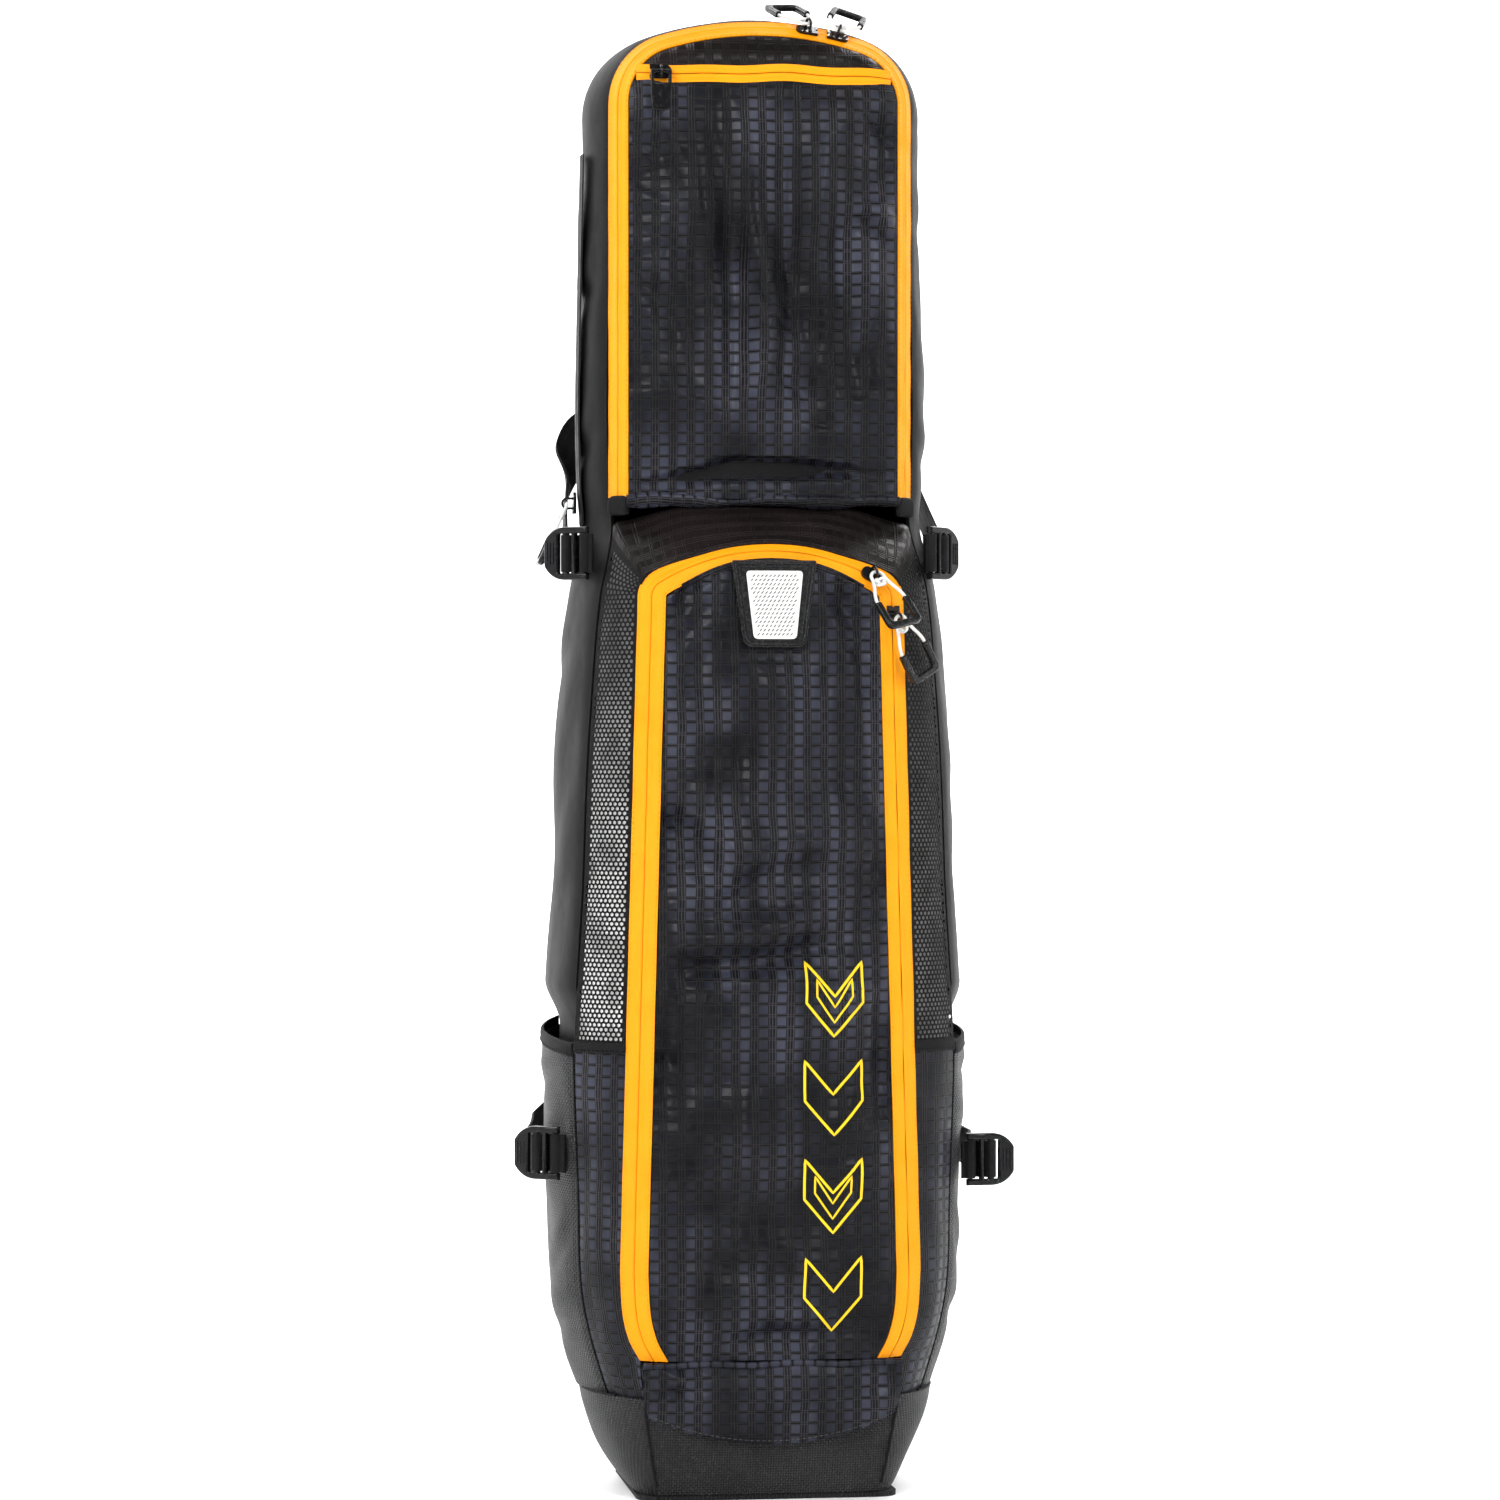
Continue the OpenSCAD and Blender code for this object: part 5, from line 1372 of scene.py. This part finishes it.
UPPER = [(82, STRAP_Y + 4, 703), (94, STRAP_Y + 4, 712), (108, STRAP_Y + 3, 706), (117, 58, 684),
         (121, 40, 662), (125, 8, 638), (127, -18, 623), (127.5, -34, UPPER_LOCK_Z)]
LOWER = [(96, STRAP_Y + 4, 281), (104, STRAP_Y + 4, 262), (118, STRAP_Y + 4.6, 246), (135, 62.5, 232),
         (146, 40, 224), (148, 12, 222), (149, -10, LOWER_LOCK_Z), (146, -28, LOWER_LOCK_Z)]
for label, path, node, locks in (("upper", UPPER, "upper_webbings", LOCKS[:2]),
                                 ("lower", LOWER, "lower_webbings", LOCKS[2:])):
    parts = []
    for _, side, *at in locks:
        g = ribbon_grid(*strap_path(side, path + [behind_lock(side, *at)]), WEBBING_W, 9)
        parts.append(sheet_parts(g, WEBBING_T, (side, 0, 0)))
    cloth(f"{label}_webbing_straps", parts, "bag", WEBBING, "webbing", node)

# ---- Ladder locks ----
SLOT_HALF = (WEBBING_W + 1) / 2
RIM = SLOT_HALF + 4.5
BAR_R, GRIP_R, NOSE = 1.8, 0.7, 15
# up through one slot, over the bar between them and back behind
ROUTE = [(6, -3.6), (9.0, -3.4), (11.0, -0.6), (12.6, 2.9), (14.7, 3.6), (16.8, 2.9), (18.3, -0.6),
         (19.4, -3.6), (17, -5.4), (9, -6.2)]
for node, side, px, py, pz, turn in LOCKS:
    which, _, word = node.split("_")
    body = f"lock_{which}_{word}"
    ex, face = lock_axes(side, turn)
    ez = np.array([0.0, 0, 1])
    origin = np.array([side * px, py, pz], float)
    arc = [(min(NOSE + RIM * math.cos(a), NOSE + RIM - 2), RIM * math.sin(a))
           for a in np.linspace(math.pi / 2, -math.pi / 2, 30)]
    outline = [(-2.4, SLOT_HALF), (-2.4, RIM), *arc, (-2.4, -RIM), (-2.4, -SLOT_HALF),
               (6.5, -SLOT_HALF), (6.5, SLOT_HALF)]
    slots = [rounded([(a, -SLOT_HALF), (b, -SLOT_HALF), (b, SLOT_HALF), (a, SLOT_HALF)], 1.0, 4)
             for a, b in ((9.5, 12.9), (16.4, 19.8))]
    place = frame_at((side * px, py, pz), ex, ez, np.cross(ex, ez))
    lock = plate(node + "_moulding", [outline] + slots, 5, 1.3, place, 3)
    bar = tube_parts([origin + ez * s for s in np.linspace(-SLOT_HALF - 1, SLOT_HALF + 1, 8)], BAR_R, 14)
    grips = [tube_parts([origin + ex * a + face * 2.4 + ez * s for s in np.linspace(-7, 7, 7)], GRIP_R, 8)
             for a in (23.0, 25.4, 27.8)]
    add_part(lock, [bar] + grips)
    finish_piece(lock, body, HARD, "hard_plastic", node)
    tail = [(2, -7.0), (-4, -6.5)] if node == "lower_lock_left" else [(0, -6.6)]
    pts = smooth_line([origin + ex * a + face * b for a, b in ROUTE + tail], 5)
    g = ribbon_grid(pts, np.repeat(ez[None], len(pts), 0), WEBBING_W - 0.6, 9)
    cloth(f"{node}_webbing", [sheet_parts(g, 1.4, face)], body, WEBBING, "webbing")


# ---- Runners' and other CAD parts' own materials ----
def paint(material, *names):
    for n in names:
        data = NODES[n].data
        data.materials.clear()
        data.materials.append(material)


paint(HARD, "hood_slider_left", "hood_slider_right", "hood_pocket_slider", "door_slider_upper",
      "door_slider_lower", "side_slider")
paint(PLAIN_CAD, "divider_panel", "hood_liner", "lock_anchors", "handle_tabs")
paint(COARSE_CAD, "boot_floor")
paint(BOARD, "base_board")

# The pocket zip's moulded tab
tab_at = np.array([-70, -FLAP_FRONT - 8 - 1.6 - APEX_H, ZIP_Z])
outline = rounded([(-7, 1.2), (-7, -9), (-6, -26), (6, -26), (7, -9), (7, 1.2)],
                  {0: 1.5, 2: 3.5, 3: 3.5, 5: 1.5})
hole = rounded([(-4.6, -1.4), (-4.6, -8), (4.6, -8), (4.6, -1.4)], 1.5, 4)
tab = plate("hood_pocket_tab_moulding", [outline, hole], 2.4, 0.7, frame_at(tab_at, (1, 0, 0), UP, FRONT), 3)
finish_piece(tab, "hood_pocket_pull", HARD, "soft_plastic", "hood_pocket_tab")

# Cloth tabs over the ends of the hood zip
for side, word in SIDES:
    at = np.array([side * (FLAP_HALF - HOOD_ACROSS / 2), -FLAP_Y - 10.5, FLAP_FOOT - 4])
    fx = unit([1, side * 0.9, 0])
    outline = rounded([(-8, 7), (-8, -6), (8, -6), (8, 7)], {0: 5, 1: 3, 2: 3, 3: 5})
    tab = plate(f"hood_zip_tab_{word}", [outline], 5, 2.0, frame_at(at, fx, UP, unit(np.cross(fx, UP))), 4)
    finish_piece(tab, "bag", PLAIN_CAD, "smooth_cloth", *(("hood_zip_tabs",) if side == LEFT else ()))

# The side zip
parts = []
for a, b in ((-21.5, -12.6), (-11.4, -2.5)):
    g = np.array([[[-half_at(z_) - 1.9 - (0.8 if abs(y_ + 12) < 4 else 0.2), y_, z_]
                   for y_ in np.linspace(a, b, 7)] for z_ in np.linspace(640, 886, 70)])
    parts.append(sheet_parts(g, 1.2, (-1, 0, 0), zip_uv(g)))
cloth("side_zip_tapes", parts, "bag", DARK_ZIP, "dark_zip", "side_zip")

# ---- Badge ----
tilt = math.radians(4)
pivot = np.array([0, -DOOR_FRONT - 8.5, 556])  # the middle of its lower edge
by = np.array([0, math.sin(tilt), math.cos(tilt)])
bz = np.array([0, -math.cos(tilt), math.sin(tilt)])


def badge_frame(lift):
    return frame_at(pivot + bz * lift, (1, 0, 0), by, bz)


outer = rounded([(-28, 57), (-20.5, 0), (20.5, 0), (28, 57)], {1: 7, 2: 7, 0: 2, 3: 2}, 7)
badge = plate("badge_plate", [outer], 3, 0.9, badge_frame(0.5), 3)
rims = []
for inset, r in ((2.2, 0.75), (4.6, 0.5)):
    ring = [pivot + np.array([1.0, 0, 0]) * a * (1 - inset / 28)
            + by * (28.5 + (b - 28.5) * (1 - inset / 29)) + bz * 2.0 for a, b in outer]
    rims.append(tube_parts(ring, r, 8, closed=True))
add_part(badge, rims)
finish_piece(badge, "pocket_door", SOFT, "soft_plastic", "badge")
holes = []
for r_ in range(15):
    for c_ in range(13):
        b = 8.6 + r_ * 2.72
        a = (c_ - 6 + 0.5 * (r_ % 2)) * 2.7
        half = 13.6 + 5.0 * (b - 6) / 42
        if abs(a) < half - 2.4:
            holes.append([(a + 0.5 * math.cos(q) + 0.85 * math.sin(q), b + 0.95 * math.sin(q))
                          for q in np.linspace(0, 6.28, 9)[:-1]])
insert = rounded([(-18.8, 50), (-14, 5.5), (14, 5.5), (18.8, 50)], {0: 3, 1: 3, 2: 3, 3: 3}, 6)
field = plate("badge_insert", [insert] + holes, 0.9, 0.2, badge_frame(2.3), 1)
finish_piece(field, "pocket_door", WHITE, "soft_plastic")

# ---- A plain printed row of outlined chevrons on the door ----
tree = BVHTree.FromObject(door_panel, bpy.context.evaluated_depsgraph_get())


def on_door(x_, z_, lift=0.25):
    hit, n, _, _ = tree.ray_cast(Vector((x_ * MM, -0.3, z_ * MM)), Vector((0, 1, 0)))
    n = n if n.y < 0 else -n
    return np.array(hit) / MM + np.array(n) * lift


def band_parts(points, width):
    """A flat printed band along a closed line of (x, z), laid on the door."""
    pts = np.array(points, float)
    fine = []
    for i in range(len(pts)):
        a, b = pts[i], pts[(i + 1) % len(pts)]
        k = max(2, int(np.linalg.norm(b - a) / 2.5))
        fine += [a + (b - a) * s for s in np.arange(k) / k]
    fine = np.array(fine)
    t = np.roll(fine, -1, 0) - np.roll(fine, 1, 0)
    t /= np.linalg.norm(t, axis=1, keepdims=True)
    nrm = np.stack([-t[:, 1], t[:, 0]], 1)
    rows = []
    for p, n in list(zip(fine, nrm)) + [(fine[0], nrm[0])]:
        rows.append([on_door(*(p - n * width / 2)), on_door(*(p + n * width / 2))])
    return sheet_parts(np.array(rows), 0.3, FRONT)


def chevron(z, half, low, high, width):
    """An outlined chevron. low and high are the heights of its two lines over z, at the side and middle."""
    line = [(-half, low[0]), (0, low[1]), (half, low[0]), (half, high[0]), (0, high[1]), (-half, high[0])]
    return band_parts([(38 + x_, z + z_) for x_, z_ in line], width)


marks = []
for k, low_z in enumerate((112, 176, 240, 304)):
    marks.append(chevron(low_z, 19, (22, 0), (48, 26), 1.7))
    if k % 2:
        marks.append(chevron(low_z, 12, (26, 9), (37, 19), 1.3))
cloth("door_print_chevrons", marks, "pocket_door", PRINT, "embossed_cloth")

# ---- Carry handle ----
HANDLE_LOW, HANDLE_HIGH = 742, 922
hx, hy = -HOOD_HALF + 29, BACK_Y + 16
bend = [(2.5, 6), (11, 16), (17, 36), (20, 66)]
bow = [(a, HANDLE_LOW + b) for a, b in bend] + [(a, HANDLE_HIGH - b) for a, b in bend[::-1]]
line = smooth_line([(hx - a, hy, b) for a, b in bow], 7)
g = ribbon_grid(line, np.repeat([[0.0, 1, 0]], len(line), 0), 20, 9)
parts = [sheet_parts(g, 3, (-1, 0, 0))]
grip_line = [p for p in line if HANDLE_LOW + 50 < p[2] < HANDLE_HIGH - 50]
g = ribbon_grid(np.array(grip_line) + [-0.4, 0, 0], np.repeat([[0.0, 1, 0]], len(grip_line), 0), 23, 9)
s = np.linspace(-1, 1, 9)
g[..., 0] -= 1.2 * (1 - s ** 4)[None]
parts.append(sheet_parts(g, 4.6, (-1, 0, 0)))
for z_, sg in ((HANDLE_LOW, 1), (HANDLE_HIGH, -1)):
    parts.append(tube_parts([(hx, hy, z_ + s_) for s_ in np.linspace(-8, 8, 5)], 2.0, 12))
    g = np.array([[(hx + a, hy + b, z_ + sg * 7.6) for b in np.linspace(-10, 10, 5)] for a in (-2, 0, 2)])
    parts.append(sheet_parts(g, 2.0, UP))
cloth("carry_handle_webbing", parts, "grab_handle", WEBBING, "webbing", "carry_handle")

# ---- Floor and light ----
profile = [(0.001, 0), (500, 0), (1500, 0), (2900, 0)]
profile += [(2900 + 1000 * math.sin(q), 1000 - 1000 * math.cos(q)) for q in np.linspace(0.15, math.pi / 2, 9)]
profile.append((3900, 4200))
turns = np.linspace(0, 2 * math.pi, 73)
floor = np.array([[[r * math.cos(q), r * math.sin(q), h * ease((math.sin(q) + 0.6) / 0.2)] for q in turns]
                  for r, h in profile])
stage = build("floor", floor.reshape(-1, 3), grid_faces(*floor.shape[:2]).tolist())
pale = bpy.data.materials.new("floor")
pale.use_nodes = True
shader = pale.node_tree.nodes["Principled BSDF"]
shader.inputs["Base Color"].default_value = (0.93, 0.93, 0.93, 1)
shader.inputs["Roughness"].default_value = 0.8
stage.data.materials.append(pale)

world = bpy.data.worlds.new("world")
SCENE.world = world
world.use_nodes = True
sky = world.node_tree.nodes["Background"]
sky.inputs["Color"].default_value = (1, 1, 1, 1)
sky.inputs["Strength"].default_value = 0.16
SCENE.view_settings.view_transform = "Standard"


def lamp(name, at, aim, size, power):
    data = bpy.data.lights.new(name, "AREA")
    data.shape = "RECTANGLE"
    data.size, data.size_y = size
    data.energy = power
    obj = bpy.data.objects.new(name, data)
    SCENE.collection.objects.link(obj)
    obj.location = at
    obj.visible_camera = False
    obj.rotation_euler = (Vector(aim) - Vector(at)).to_track_quat("-Z", "Y").to_euler()


lamp("side_left", (-1.9, -1.7, 1.8), (0, 0, 0.5), (0.4, 1.9), 24)
lamp("side_right", (2.1, -1.4, 1.1), (0, 0, 0.5), (0.3, 1.9), 12)
lamp("high", (0.5, -1.9, 3.0), (0, 0, 0.55), (0.8, 0.4), 22)
lamp("front_left", (-1.55, -2.35, 1.75), (0, 0, 0.55), (0.35, 1.0), 32)
lamp("front_right", (1.05, -2.65, 1.65), (0, 0, 0.55), (0.3, 1.0), 24)
for side in (LEFT, RIGHT):
    lamp("backdrop", (side * 1.6, 1.6, 3.2), (side * 0.6, 3.9, 0.6), (1.6, 1.6), 130)
